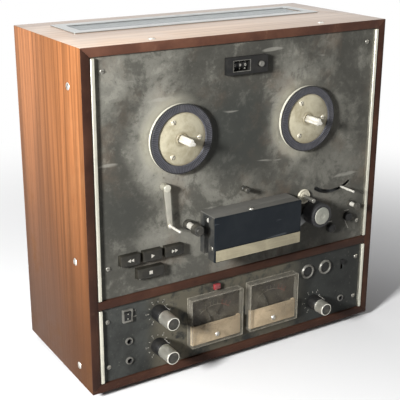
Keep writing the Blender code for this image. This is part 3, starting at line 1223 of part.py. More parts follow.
def build_rocker():
    """The power rocker, a dished lever that tips in its frame."""
    half = ROCKER_HEIGHT / 2
    outline = [(-half, -ROCKER_DISH), (-half, ROCKER_PROUD), (0, ROCKER_PROUD - ROCKER_DISH)]
    outline += [(half, ROCKER_PROUD), (half, -ROCKER_DISH), (half / 2, -ROCKER_DEPTH)]
    outline.append((-half / 2, -ROCKER_DEPTH))
    upright = Matrix(((0, 0, 1), (0, -1, 0), (1, 0, 0))).to_euler()
    rocker = sheet("power_rocker", [outline], ROCKER_WIDTH, BLACK, at(*ROCKER), upright)
    rocker.rotation_euler.rotate_axis("Z", ROCKER_TILT)


def build_record_controls():
    """The two record buttons, the slide switch and the record lamp."""
    flange = BEZEL_BORE + KEY_FLANGE
    flange_front = -PLATE - SEAT_GAP
    profile = [(0, RECORD_PROUD), (RECORD_RADIUS, RECORD_PROUD), (RECORD_RADIUS, flange_front)]
    profile += [(flange, flange_front), (flange, flange_front - KEY_FLANGE)]
    profile += [(RECORD_RADIUS, flange_front - KEY_FLANGE), (RECORD_RADIUS, -RECORD_DEPTH)]
    profile.append((0, -RECORD_DEPTH))
    for name, spot in zip(("left_record_button", "right_record_button"), RECORD_BUTTONS):
        turned(name, profile, BLACK, at(*spot))
    x, z = SLIDE
    lever_z = z + (SLIDE_SLOT_HEIGHT - SLIDE_LEVER_HEIGHT) / 2 - SEAT_GAP
    size = (SLIDE_SLOT_WIDTH - 2 * SEAT_GAP, SLIDE_LEVER_HEIGHT)
    front_box("slide_switch", size, BLACK, x, lever_z, -SLIDE_DEPTH, SLIDE_PROUD, BOARD_EDGE)
    x, z = LAMP
    lens = front_box("record_lamp", (LAMP_WIDTH, LAMP_HEIGHT), RED, x, z, SEAT_GAP, LAMP_PROUD, LAMP_EDGE)
    fuse(lens, rod("lamp_stem", LAMP_STEM, None, x, z, -LAMP_DEPTH, LAMP_PROUD / 2, SMALL_STEPS))


def build_jacks():
    """The three jack sockets on the amplifier panel, with the bores that take a plug."""
    back = -JACK_LENGTH
    body_front = -PLATE - SEAT_GAP
    profile = [(0, back + OVERRUN), (JACK_BORE, back + OVERRUN), (JACK_BORE, JACK_NUT)]
    profile += [(JACK_NUT_RADIUS, JACK_NUT), (JACK_NUT_RADIUS, SEAT_GAP), (JACK_BARREL, SEAT_GAP)]
    profile += [(JACK_BARREL, body_front), (JACK_BODY, body_front), (JACK_BODY, back), (0, back)]
    for name, spot in zip(JACK_NAMES, JACKS):
        turned(name, profile, STEEL, at(*spot), steps=SMALL_STEPS)


def knob_profile(back, front):
    """A silver knob from its back face to its dished front, with its shaft."""
    profile = [(0, front - KNOB_DISH), (KNOB_FRONT_RADIUS - KNOB_RIM, front - KNOB_DISH)]
    profile += [(KNOB_FRONT_RADIUS - KNOB_RIM, front), (KNOB_FRONT_RADIUS, front)]
    profile += [(KNOB_RADIUS, back), (KNOB_SHAFT, back), (KNOB_SHAFT, -KNOB_SHAFT_LENGTH)]
    return profile + [(0, -KNOB_SHAFT_LENGTH)]


def ring_profile(bore):
    """The black ring behind a knob, with its sleeve through the panel."""
    profile = [(bore, RING_LENGTH), (RING_FRONT_RADIUS, RING_LENGTH), (RING_RADIUS, RING_LENGTH / 2)]
    profile += [(RING_RADIUS, SEAT_GAP), (RING_SLEEVE, SEAT_GAP), (RING_SLEEVE, -RING_SLEEVE_LENGTH)]
    return profile + [(bore, -RING_SLEEVE_LENGTH)]


def pointer(name, x, z, angle):
    """The raised line on a ring, from the knob outwards, at an angle from straight up."""
    start = KNOB_RADIUS / 2
    length = RING_RADIUS - start
    middle = start + length / 2 + POINTER_PROUD / 2
    size = (POINTER_WIDTH, length + POINTER_PROUD)
    px = x + middle * math.sin(angle)
    pz = z + middle * math.cos(angle)
    bar = front_box(name, size, None, px, pz, RING_LENGTH / 4, RING_LENGTH + POINTER_PROUD)
    bar.rotation_euler = (0, angle, 0)
    return bar


def build_knobs():
    """The two stacked input controls, each a ring and a knob, and the output control in one piece."""
    knob_back = RING_LENGTH + POINTER_PROUD + SEAT_GAP
    for name, (x, z) in zip(INPUT_NAMES, INPUT_KNOBS):
        ring = turned(f"{name}_ring", ring_profile(KNOB_SHAFT + SHAFT_GAP), BLACK, at(x, z), ring=True)
        fuse(ring, pointer(f"{name}_pointer", x, z, POINTER_ANGLE))
        turned(f"{name}_knob", knob_profile(knob_back, KNOB_FRONT), SILVER, at(x, z))
    x, z = OUTPUT_KNOB
    knob = turned("output_knob", knob_profile(RING_LENGTH - OVERRUN, OUTPUT_FRONT), SILVER, at(x, z))
    skirt = ring_profile(0)
    fuse(knob, turned("output_skirt", skirt, None, at(x, z)))


def build_meters():
    """The clear covers, the dials with their beige masks and movements, and the needles."""
    inside = (METER_WIDTH - 2 * METER_WALL, METER_HEIGHT - 2 * METER_WALL)
    dial_size = (inside[0] - 2 * DIAL_GAP, inside[1] - 2 * DIAL_GAP)
    dial_front = SEAT_GAP + DIAL_THICKNESS
    mask_back = dial_front + MASK_ROOM
    needle_middle = dial_front + MASK_ROOM / 2
    for side, (x, z) in zip(METER_NAMES, METERS):
        mask_z = z - dial_size[1] / 2 + MASK_HEIGHT / 2
        pivot_z = z - METER_HEIGHT / 2 + NEEDLE_PIVOT_RISE
        size = (METER_WIDTH, METER_HEIGHT)
        shell = (f"{side}_meter_cover", size, CLEAR, x, z, SEAT_GAP, METER_PROUD, METER_EDGE)
        hollow = (f"{side}_meter_hollow", inside, None, x, z, -OVERRUN, METER_PROUD - METER_WALL)
        cut(front_box(*shell), front_box(*hollow))
        dial = front_box(f"{side}_meter_dial", dial_size, CREAM, x, z, SEAT_GAP, dial_front)
        mask = (dial_size[0], MASK_HEIGHT)
        mask_span = (dial_front - MASK_THICKNESS, mask_back + MASK_THICKNESS)
        fuse(dial, front_box(f"{side}_mask", mask, None, x, mask_z, *mask_span))
        room = (dial_size[0] - 2 * MASK_LEG, MASK_HEIGHT + 2 * OVERRUN)
        cut(dial, front_box(f"{side}_mask_room", room, None, x, mask_z, dial_front, mask_back))
        pin_span = (dial_front - MASK_THICKNESS, needle_middle + NEEDLE_THICKNESS)
        fuse(dial, rod(f"{side}_pin", NEEDLE_PIN, None, x, pivot_z, *pin_span, SCREW_STEPS))
        movement = (MOVEMENT_RADIUS, None, x, z, -MOVEMENT_DEPTH, dial_front / 2)
        fuse(dial, rod(f"{side}_movement", *movement))
        needle(f"{side}_meter_needle", x, pivot_z, needle_middle)


def needle(name, x, z, middle):
    """A thin pointer on a bored hub, resting to the left of upright."""
    hub_angle = math.asin(NEEDLE_WIDTH / 2 / NEEDLE_HUB)
    outline = [(NEEDLE_TIP / 2, NEEDLE_LENGTH), (-NEEDLE_TIP / 2, NEEDLE_LENGTH)]
    for i in range(SMALL_STEPS + 1):
        angle = math.pi / 2 + hub_angle + (2 * math.pi - 2 * hub_angle) * i / SMALL_STEPS
        outline.append((NEEDLE_HUB * math.cos(angle), NEEDLE_HUB * math.sin(angle)))
    bore = circle(0, 0, NEEDLE_PIN + SHAFT_GAP, SCREW_STEPS)
    pointer_piece = sheet(name, [outline, bore], NEEDLE_THICKNESS, BLACK, at(x, z, middle))
    pointer_piece.rotation_euler.rotate_axis("Z", NEEDLE_REST)


def build_amplifier_unit():
    """The tray in the lower part with its circuit board, capacitors and mains transformer."""
    floor = BOARD + SEAT_GAP
    tray_width = 2 * (INNER_X - TRAY_SIDE)
    tray_depth = CABINET_DEPTH - TRAY_SET_BACK - TRAY_REAR
    depth = TRAY_SET_BACK + tray_depth / 2
    size = (tray_width, tray_depth, TRAY_WALL)
    tray = box("amplifier_unit", size, STEEL, in_cabinet(0, depth, floor + TRAY_WALL / 2))
    inside = (tray_width - 2 * TRAY_SHEET, tray_depth - 2 * TRAY_SHEET, TRAY_WALL)
    inside_z = floor + TRAY_WALL / 2 + TRAY_SHEET
    cut(tray, box("tray_hollow", inside, None, in_cabinet(0, depth, inside_z)))
    board_z = floor + TRAY_SHEET + BOARD_POST
    length, width = BOARD_LENGTH_SHARE * tray_width, BOARD_WIDTH_SHARE * tray_depth
    middle = BOARD_X_SHARE * tray_width
    board_size = (length, width, BOARD_SHEET)
    post_height = BOARD_POST + TRAY_SHEET / 2 + BOARD_SHEET / 2
    posts = []
    for side in (-1, 1):
        for end in (-1, 1):
            px = middle + side * (length / 2 - 2 * BOARD_POST_RADIUS)
            py = depth + end * (width / 2 - 2 * BOARD_POST_RADIUS)
            spot = in_cabinet(px, py, floor + TRAY_SHEET / 2)
            posts.append(upright_rod("post", BOARD_POST_RADIUS, post_height, spot))
    fuse(tray, gather("board_posts", posts, None))
    fuse(tray, box("board", board_size, None, in_cabinet(middle, depth, board_z + BOARD_SHEET / 2)))
    cans = []
    for share in CANS_X_SHARES:
        spot = in_cabinet(middle + share * length, depth, board_z + BOARD_SHEET / 2)
        cans.append(upright_rod("can", CAN_RADIUS, CAN_HEIGHT, spot))
    fuse(tray, gather("cans", cans, None))
    width, deep, high = TRANSFORMER
    core_z = floor + TRAY_SHEET / 2 + high / 2
    core_x = TRANSFORMER_X_SHARE * tray_width
    core = (width, deep - 2 * CORE_LIP, high)
    fuse(tray, box("core", core, None, in_cabinet(core_x, depth, core_z)))
    winding = (width - 2 * CORE_LIP, deep, high - 2 * CORE_LIP)
    fuse(tray, box("winding", winding, None, in_cabinet(core_x, depth, core_z)))


def upright_rod(name, radius, height, spot):
    profile = [(0, height), (radius, height), (radius, 0), (0, 0)]
    return turned(name, profile, None, spot, rotation=(0, 0, 0), steps=SMALL_STEPS)


def main():
    build_cabinet()
    build_grille()
    build_rear()
    build_deck_plate()
    build_amplifier_plate()
    build_chassis()
    build_reel_tables()
    build_capstan()
    build_pinch_roller()
    build_tension_arms()
    build_heads()
    build_guides()
    build_counter()
    build_keys()
    build_mode_buttons()
    build_rocker()
    build_record_controls()
    build_jacks()
    build_knobs()
    build_meters()
    build_amplifier_unit()


main()
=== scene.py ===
"""A reel-to-reel tape deck in its walnut cabinet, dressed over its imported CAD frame, on a pale floor."""

import math

import bmesh
import bpy
from bpy.props import FloatProperty, FloatVectorProperty, IntProperty, PointerProperty
from mathutils import Matrix, Vector


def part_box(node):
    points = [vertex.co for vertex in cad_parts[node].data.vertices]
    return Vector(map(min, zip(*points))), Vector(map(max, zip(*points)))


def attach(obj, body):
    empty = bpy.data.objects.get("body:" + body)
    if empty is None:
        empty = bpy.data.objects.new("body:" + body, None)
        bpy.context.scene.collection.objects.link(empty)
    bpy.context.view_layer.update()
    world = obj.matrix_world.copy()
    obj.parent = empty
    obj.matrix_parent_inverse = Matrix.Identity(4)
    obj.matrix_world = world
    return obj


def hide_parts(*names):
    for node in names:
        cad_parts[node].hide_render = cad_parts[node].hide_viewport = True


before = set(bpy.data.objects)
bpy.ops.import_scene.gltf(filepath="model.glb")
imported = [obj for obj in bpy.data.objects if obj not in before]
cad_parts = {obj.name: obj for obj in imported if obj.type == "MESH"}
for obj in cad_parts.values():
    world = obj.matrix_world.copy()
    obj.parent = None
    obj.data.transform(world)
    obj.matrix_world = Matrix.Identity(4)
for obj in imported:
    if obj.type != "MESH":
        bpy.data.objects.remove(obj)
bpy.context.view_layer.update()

bl_info = {
    "name": "Tape Deck",
    "version": (1, 0, 0),
    "blender": (4, 5, 0),
    "location": "3D View > Sidebar > Tape Deck",
    "description": "Builds an upright reel-to-reel tape deck piece by piece, with its stage",
    "category": "Object",
}

# Front coordinates are x across, y up from the cabinet's underside, and z out of the panels.
CABINET_LOW, _ = (Vector(corner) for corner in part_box("cabinet"))
FRONT_Y = CABINET_LOW.y
PANEL_RECESS = 0.0030
PANEL_Y = FRONT_Y + PANEL_RECESS
BASE_Z = CABINET_LOW.z
FRONT = Matrix(((1, 0, 0, 0), (0, 0, -1, PANEL_Y), (0, 1, 0, BASE_Z), (0, 0, 0, 1)))

WIDTH = 0.4400
HEIGHT = 0.4264
DEPTH = 0.1990
BOARD = 0.0110
INNER_X = WIDTH / 2 - BOARD
RAIL_BOTTOM = 0.1112
RAIL_TOP = 0.1220
RAIL_DEPTH = 0.0600
DECK_TOP = HEIGHT - BOARD
PLATE = 0.0025
PLATE_MARGIN = 0.0004
GAP = 0.0003
SEAM = 0.0001
MERGE = 1e-7
CORNER_SHARE = 0.45
INK_BACK, INK_FRONT = GAP / 10, GAP / 3
INK_DEPTH = GAP / 12
SHARP_ANGLE = math.radians(32)
SOFTENED_ANGLE = math.radians(50)

GRILLE_LENGTH = 0.3680
GRILLE_WIDTH = 0.0735
GRILLE_FRONT = 0.0950
MESH_LENGTH = 0.3380
MESH_WIDTH = 0.0460
MESH_HIDDEN = 0.002
WIRE_SHARE = 0.23
VENT_LIP = 0.006

TRIM_WIDTH = 0.0048
TRIM_PROUD = 0.0040
SIDE_SCREWS = (0.0240, 0.1642, 0.3782)
SIDE_SCREW_DEPTH = 0.0370
TOP_SCREWS = ((-0.1235, 0.0160), (0.1235, 0.0160))
SCREW_RADIUS = 0.0031
SCREW_HEAD = 0.0013
SIDE_SCREW_RADIUS = 0.0046
TOP_SCREW_RADIUS = 0.0042
DECK_SCREWS = ((-0.1930, 0.3982), (0.1925, 0.3982), (-0.1930, 0.1613), (0.1935, 0.1470))
AMPLIFIER_SCREWS = ((-0.1960, 0.0920), (0.1960, 0.0920), (-0.1960, 0.0305), (0.1960, 0.0305))

REEL_Z = 0.3080
REELS = (("supply", -0.0942), ("takeup", 0.0942))
RECESS_RADIUS = 0.0500
RECESS_DEPTH = 0.0008
RECESS_SLOPE = 0.0045
COLLAR_RADIUS = RECESS_RADIUS + 0.0025
COLLAR_SEAM = 0.00005
TABLE_RADIUS = 0.0429
TABLE_FACE = 0.0072
TABLE_BACK = 0.0010
DISC_RADIUS = 0.0325
DISC_FACE = 0.0054
DISC_SCREW_CIRCLE = 0.0245
DISC_SCREW_TURN = math.radians(118)
DISC_SCREW_RADIUS = 0.0032
DISC_SCREW_HEAD = 0.0010
HUB_RADIUS = 0.0075
SPINDLE_RADIUS = 0.0040
SPINDLE_LOBE = 0.0011
SPINDLE_TIP = 0.0210
CAP_LENGTH = 0.0080
CAP_BORE = 0.0021

# Patches on the deck plate, each x, y, outer radius, inner radius, strength: painted shade right of the left
# reel table and at the lower left, then cleaner paint.
SHADE_PATCHES = ((-0.014, 0.303, 0.080, 0.025, 1.0), (-0.172, 0.222, 0.050, 0.010, 0.7))
CLEAN_PATCHES = ((-0.055, 0.185, 0.125, 0.030, 0.75), (0.150, 0.215, 0.075, 0.020, 0.7))

COUNTER = (-0.0020, 0.3874)
COUNTER_SIZE = (0.0595, 0.0213)
COUNTER_PROUD = 0.0060
WINDOW_X = -0.0105
WINDOW_SIZE = (0.0240, 0.0125)
DIGIT_RADIUS = 0.0085
DIGIT_WIDTH = 0.0070
DIGIT_PITCH = 0.0076
DIGIT_DROP = 0.0065
RESET_X = 0.0179
RESET_RADIUS = 0.0035
RESET_PROUD = 0.0086

LEFT_ARM = (-0.1170, 0.2515)
LEFT_ARM_ANGLE = math.radians(5.2)
LEFT_ARM_LENGTH = 0.0492
RIGHT_ARM = (0.1458, 0.2530)
RIGHT_ARM_ANGLE = math.radians(18.5)
RIGHT_ARM_LENGTH = 0.0536
ARC_SLOT_WIDTH = 0.0054
ARC_SLOT_HALF = math.radians(32)
ARM_PIN = 0.0016
SHAFT_RADIUS = 0.0040
SHAFT_END = -0.0185

HOUSING_LEFT, HOUSING_RIGHT = -0.0646, 0.0670
HOUSING_BOTTOM, HOUSING_TOP = 0.1524, 0.2107
HOUSING_X = (HOUSING_LEFT + HOUSING_RIGHT) / 2
HOUSING_WIDTH = HOUSING_RIGHT - HOUSING_LEFT
HOUSING_BACK = 0.0093
COVER_BACK = 0.0190
COVER_FRONT = 0.0340
ROOF = 0.0035
STRIP_HEIGHT = 0.0145
STRIP_MARGIN = 0.0012
HEADS = (-0.0330, -0.0020, 0.0290)
HEAD_LINE = 0.1975
GUIDE_LINE = 0.2000
SLOT_GUIDES = (-0.0575, 0.0600)
COVER_SCREW_X = -0.0070
COVER_SCREW_RISE = 0.017
COVER_SCREW_OUT = 0.0265

LEFT_GUIDE = (-0.0840, 0.1970)
RIGHT_GUIDE = (0.1790, 0.1755)
GUIDE_HOLE = (0.1996, 0.1867)
CUE_POST = (-0.0020, 0.2292)
CAPSTAN = (0.0965, 0.2004)
ROLLER = (0.1100, 0.1776)
PINCH_PIVOT = (0.07816, 0.15875)
BUSH_BORE = 0.0033
BUSH_END = -0.0790
FLYWHEEL_RADIUS = 0.0420
FLYWHEEL_RIM = 0.0340
FLYWHEEL_HUB = 0.0090

KEYS = (
    ("key_rewind", -0.1661, 0.1684, 0.0260),
    ("key_play", -0.1358, 0.1684, 0.0260),
    ("key_forward", -0.1055, 0.1684, 0.0260),
    ("key_stop", -0.1390, 0.1473, 0.0360),
)
KEY_HEIGHT = 0.0136
KEY_PROUD = 0.0070
KEY_CLEARANCE = 0.0008
MODE_BUTTONS = (("upper_mode_button", 0.1743, 0.1575), ("lower_mode_button", 0.1454, 0.1462))
MODE_RADIUS = 0.0058
MODE_PROUD = 0.0065
SLANTED_MARK = ((0.1717, 0.1518), (0.1785, 0.1391))
BUTTON_MARKS = ((0.1743, 0.1660), (0.1454, 0.1548))
POINTER_MARKS = ((0.0965, 0.2186, False), (-0.1170, 0.2620, True))

ROCKER = (-0.1698, 0.0947)
ROCKER_HOLE = (0.0094, 0.0124)
ROCKER_FRAME = (0.0138, 0.0171)
ROCKER_TILT = math.radians(7)
JACKS = (
    ("upper_jack", -0.1680, 0.0592),
    ("lower_jack", -0.1680, 0.0323),
    ("phones_jack", 0.1710, 0.0334),
)
INPUT_KNOBS = (("upper_input", -0.1262, 0.0878), ("lower_input", -0.1268, 0.0418))
OUTPUT_KNOB = (0.1207, 0.0402)
KNOB_PLACES = [(x, y) for _, x, y in INPUT_KNOBS] + [OUTPUT_KNOB]
RING_LENGTH = 0.0160
RING_RADIUS = 0.0104
KNOB_RADIUS = 0.0092
KNOB_FRONT = 0.0390
OUTPUT_FRONT = 0.0310
RECORD_BUTTONS = (("left", 0.1093, 0.0885), ("right", 0.1400, 0.0885))
BEZEL_RADIUS = 0.0105
BEZEL_BORE = 0.0073
SLIDE = (0.1718, 0.0853)
SLIDE_SLOT = (0.0052, 0.0150)
SLIDE_LEVER = (0.0046, 0.0066)
LAMP = (-0.0405, 0.1030)

METERS = (("left", -0.0445), ("right", 0.0457))
METER_Y = 0.0624
METER_SIZE = (0.0785, 0.0676)
METER_PROUD = 0.0120
METER_WALL = 0.0018
NEEDLE_REST = math.radians(25)
METER_PIVOT = METER_Y - METER_SIZE[1] / 2 + 0.0160
DIAL_MARGIN = 0.0044
MASK_HEIGHT = 0.0265
MASK_SCREW_RADIUS = 0.0034
SCALE_RADIUS = 0.0350
SCALE_HALF = math.radians(40)
SCALE_RED = 17
SCALE_NUMBERS = (
    (-36, "20"), (-22, "10"), (-11, "7"), (-3, "5"), (6, "3"), (SCALE_RED, "0"), (27, "1"), (36, "3"))

LINE_JACKS = (-0.0850, -0.0600, -0.0250, 0.0000)
LINE_JACK_DROP = 0.011

LIGHTS = (
    ("key", (-1.50, -0.72, 0.82), (0, -0.05, 0.24), 0.26, 66),
    ("fill", (0.6, -2.1, 1.2), (0, 0, 0.2), 1.6, 2),
    ("top", (-0.2, 0.6, 1.9), (0, 0, 0.3), 1.4, 12),
)
CAMERA_PLACE = (-0.6111, -0.8711 + FRONT_Y, 0.5904 + BASE_Z)
CAMERA_ANGLES = (-31.2796, 18.2506, 0.0458)
CAMERA_LENS = 79.83
CAMERA_SHIFT = (0.0255, -0.0498)


class TapeDeckFinishes(bpy.types.PropertyGroup):
    """Colours of the deck, as linear values"""

    walnut: FloatVectorProperty(
        name="Walnut", description="Middle tone of the veneer", subtype="COLOR",
        default=(0.350, 0.140, 0.054), min=0, max=1)
    deck: FloatVectorProperty(
        name="Deck plate", description="Paint of the upper panel between its stains", subtype="COLOR",
        default=(0.205, 0.200, 0.172), min=0, max=1)
    amplifier: FloatVectorProperty(
        name="Amplifier plate", description="Paint of the lower panel", subtype="COLOR",
        default=(0.044, 0.046, 0.043), min=0, max=1)
    strip: FloatVectorProperty(
        name="Strip", description="Anodised strip on the head cover", subtype="COLOR",
        default=(0.36, 0.32, 0.22), min=0, max=1)
    lamp: FloatVectorProperty(
        name="Record lamp", description="Lens of the record lamp", subtype="COLOR",
        default=(0.22, 0.018, 0.022), min=0, max=1)


class TapeDeckDetails(bpy.types.PropertyGroup):
    """Sizes and counts of the small details"""

    board_edge: FloatProperty(
        name="Board edge", description="Rounding of the boards' edges", subtype="DISTANCE",
        default=0.0006, min=0.0001, max=0.003)
    knob_flutes: IntProperty(
        name="Knob flutes", description="Grooves round each knob", default=40, min=8, max=80)
    table_ribs: IntProperty(
        name="Table ribs", description="Ribs round the rim of each reel table", default=110, min=20, max=200)
    mesh_pitch: FloatProperty(
        name="Mesh pitch", description="Distance between the wires of the top grille", subtype="DISTANCE",
        default=0.0030, min=0.002, max=0.01)


class Value:
    """A socket's value, on which Python's operators add the matching nodes."""

    def __init__(self, finish, socket):
        self.finish = finish
        self.socket = socket

    def math(self, operation, *others):
        return self.finish.node("ShaderNodeMath", {"operation": operation}, (self, *others))

    def __add__(self, other):
        return self.math("ADD", other)

    def __sub__(self, other):
        return self.math("SUBTRACT", other)

    def __mul__(self, other):
        return self.math("MULTIPLY", other)

    def __rsub__(self, other):
        return self.finish.node("ShaderNodeMath", {"operation": "SUBTRACT"}, (other, self))

    __radd__ = __add__
    __rmul__ = __mul__

    def above(self, low, high):
        """A smooth step from 0 at low to 1 at high, or the reverse when low is the greater."""
        settings = {"interpolation_type": "SMOOTHSTEP"}
        return self.finish.node("ShaderNodeMapRange", settings, (self, low, high, 0.0, 1.0))


class Nodes:
    """A node tree to which nodes are added through one method."""

    def __init__(self, tree):
        self.tree = tree

    def fill(self, socket, value):
        if isinstance(value, Value):
            self.tree.links.new(value.socket, socket)
        elif isinstance(value, (tuple, list)) and len(value) == 3 and socket.type == "RGBA":
            socket.default_value = (*value, 1.0)
        else:
            socket.default_value = value

    def node(self, kind, settings=None, inputs=(), out=0):
        """A node of this type. Its settings come first, then its sockets by order or by name."""
        made = self.tree.nodes.new(kind)
        for key, value in (settings or {}).items():
            setattr(made, key, value)
        pairs = inputs.items() if isinstance(inputs, dict) else enumerate(inputs)
        for key, value in pairs:
            self.fill(made.inputs[key], value)
        return Value(self, made.outputs[out])

    def in_view(self):
        """1 for the camera, in reflections and through glass, and 0 for all other light."""
        seen = self.node("ShaderNodeLightPath", out="Is Camera Ray")
        path = seen.socket.node
        for kind in ("Is Glossy Ray", "Is Transmission Ray"):
            seen = seen.math("MAXIMUM", Value(self, path.outputs[kind]))
        return seen


class Finish(Nodes):
    """A Principled material whose patterns are added as expressions."""

    def __init__(self, name, color, roughness, metallic=0.0, **even):
        self.material = bpy.data.materials.new(name)
        self.material.use_nodes = True
        super().__init__(self.material.node_tree)
        self.shader = self.tree.nodes["Principled BSDF"]
        self.place = self.node("ShaderNodeTexCoord", out="Object")
        self.set("Base Color", color)
        self.set("Roughness", roughness)
        self.set("Metallic", metallic)
        for socket, value in even.items():
            self.set(socket.replace("_", " "), value)

    def set(self, name, value):
        self.fill(self.shader.inputs[name], tuple(value) if hasattr(value, "__len__") else value)

    def mix(self, factor, low, high):
        """A colour between two colours."""
        settings = {"data_type": "RGBA"}
        mixed = self.node("ShaderNodeMix", settings, out=2)
        made = mixed.socket.node
        self.fill(made.inputs[0], factor)
        for socket, color in ((made.inputs[6], low), (made.inputs[7], high)):
            self.fill(socket, color if isinstance(color, Value) else tuple(color))
        return mixed

    def moved(self, centre=(0, 0, 0), stretch=(1, 1, 1)):
        """Object coordinates from a centre, stretched along each axis."""
        shifted = self.node("ShaderNodeVectorMath", {"operation": "SUBTRACT"}, (self.place, tuple(centre)))
        return self.node("ShaderNodeVectorMath", {"operation": "MULTIPLY"}, (shifted, tuple(stretch)))

    def noise(self, scale, stretch=(1, 1, 1), detail=4.0, roughness=0.55, distortion=0.0, centre=(0, 0, 0)):
        inputs = {"Vector": self.moved(centre, stretch), "Scale": scale, "Detail": detail}
        inputs.update({"Roughness": roughness, "Distortion": distortion})
        return self.node("ShaderNodeTexNoise", inputs=inputs)

    def cells(self, scale, stretch=(1, 1, 1), feature="F1"):
        inputs = {"Vector": self.moved(stretch=stretch), "Scale": scale}
        return self.node("ShaderNodeTexVoronoi", {"feature": feature}, inputs)

    def axis(self, index, centre=(0, 0, 0)):
        return self.node("ShaderNodeSeparateXYZ", inputs=(self.moved(centre),), out=index)

    def radius(self, centre, flat=(1, 0, 1)):
        """Distance from an axis square to the front through this place."""
        return self.node("ShaderNodeVectorMath", {"operation": "LENGTH"}, (self.moved(centre, flat),), out=1)

    def patches(self, places):
        """Soft round patches on the front, each by its middle, two radii and strength."""
        total = 0.0
        for x, y, outer, inner, strength in places:
            total = self.radius((x, 0, BASE_Z + y)).above(outer, inner) * strength + total
        return total

    def turn(self, centre):
        """Angle round an axis square to the front, in radians."""
        return self.axis(2, centre).math("ARCTAN2", self.axis(0, centre))

    def bump(self, height, distance, strength=1.0):
        inputs = {"Strength": strength, "Distance": distance, "Height": height}
        self.set("Normal", self.node("ShaderNodeBump", inputs=inputs))
        return self

    def backed_by_white(self, far):
        """Turns to plain white, for the camera and in reflections, where the factor rises."""
        lit = Value(self, self.shader.outputs[0])
        glow = self.node("ShaderNodeEmission")
        mixed = self.node("ShaderNodeMixShader", inputs=(self.in_view() * far, lit, glow))
        self.fill(self.tree.nodes["Material Output"].inputs[0], mixed)

    def dusty(self, color, dust, amount=0.25, scale=60.0):
        """A colour with a thin uneven film of dust over it."""
        film = self.noise(scale, detail=6.0).above(0.35, 0.8) * amount
        self.set("Base Color", self.mix(film, color, dust))
        return self


finishes = {}


def finish_of(maker, *args):
    """The material that a maker function gives, made once for each set of arguments."""
    key = (maker.__name__, *args)
    if key not in finishes:
        finishes[key] = maker(*args).material
    return finishes[key]


def tone(color, scale):
    return tuple(min(1.0, part * scale) for part in color)


def walnut(grain, shade, name):
    """Straight-grained veneer with thin dark streaks, worn varnish and open pores, with painted shade
    darkening it lower down.
    """
    middle = tone(bpy.context.scene.tape_deck_finishes.walnut, shade)
    along = {"x": (0.012, 1, 1), "z": (1, 1, 0.012)}[grain]
    wide = tuple(0.06 if part < 1 else 1 for part in along)
    made = Finish(name, middle, 0.42, Specular_IOR_Level=0.04)
    figure = made.noise(15.0, wide, 4.0, 0.55, 0.25)
    streaks = made.noise(190.0, along, 6.0, 0.6, 0.1)
    lines = made.noise(520.0, along, 4.0, 0.6)
    pores = made.noise(1100.0, wide, 3.0, 0.5)
    color = made.mix(figure.above(0.34, 0.66), tone(middle, 0.60), tone(middle, 1.28))
    color = made.mix(streaks.above(0.42, 0.64) * 0.75, color, tone(middle, 0.36))
    color = made.mix(lines.above(0.40, 0.68) * 0.40, color, tone(middle, 0.55))
    color = made.mix(pores.above(0.60, 0.72) * 0.5, color, tone(middle, 0.20))
    # Painted shade: the veneer darkens towards the floor.
    low = made.axis(2).above(0.44, 0.02)
    color = made.mix(low * 0.95, color, tone(middle, 0.20))
    worn = made.noise(9.0, (1, 1, 1), 6.0, 0.65).above(0.54, 0.74)
    made.set("Base Color", made.mix(worn * 0.10, color, (0.45, 0.27, 0.14)))
    made.set("Roughness", worn * 0.2 + streaks * 0.16 + 0.30)
    return made.bump(streaks * 0.4 - pores.above(0.60, 0.72) * 0.8, 0.00012, 0.6)


def walnut_edge(name="walnut_edge", lit=1.0):
    """The dark lipping on the boards' front edges, worn paler in places; lit makes it lighter, as painted
    light on the top board's edge.
    """
    made = Finish(name, (0.050, 0.022, 0.015), 0.4, Specular_IOR_Level=0.10)
    film = made.noise(38.0, (0.5, 1, 0.5), 5.0, 0.6, 0.2)
    fine = made.noise(500.0, (0.2, 1, 0.2), 3.0, 0.5)
    dark, pale = tone((0.036, 0.016, 0.011), lit), tone((0.066, 0.030, 0.019), lit)
    color = made.mix(film.above(0.32, 0.72), dark, pale)
    made.set("Base Color", made.mix(fine.above(0.62, 0.76) * 0.30, color, tone((0.12, 0.07, 0.045), lit)))
    made.set("Roughness", film * 0.25 + 0.28)
    return made.bump(fine, 0.00008, 0.4)


def veneer_top():
    """The top board, bleached and dusty, its pale greyed colour partly painted glare, with rings and water
    marks.
    """
    # Painted reflection: these tones are set pale and greyed, in part to stand for glare on the board.
    middle = (0.50, 0.33, 0.24)
    made = Finish("walnut_top", middle, 0.35, Coat_Weight=0.4, Coat_Roughness=0.2)
    figure = made.noise(14.0, (0.06, 1, 1), 5.0, 0.6, 0.4)
    streaks = made.noise(170.0, (0.015, 1, 1), 6.0, 0.6, 0.1)
    stain = made.noise(7.0, (1, 1, 1), 6.0, 0.65, 0.6)
    color = made.mix(figure.above(0.34, 0.66), (0.46, 0.32, 0.225), (0.66, 0.50, 0.37))
    color = made.mix(streaks.above(0.42, 0.65) * 0.45, color, (0.26, 0.155, 0.105))
    made.set("Base Color", made.mix(stain.above(0.50, 0.64) * 0.40, color, (0.56, 0.47, 0.40)))
    made.set("Roughness", stain * 0.3 + 0.22)
    return made.bump(streaks, 0.0001, 0.5)


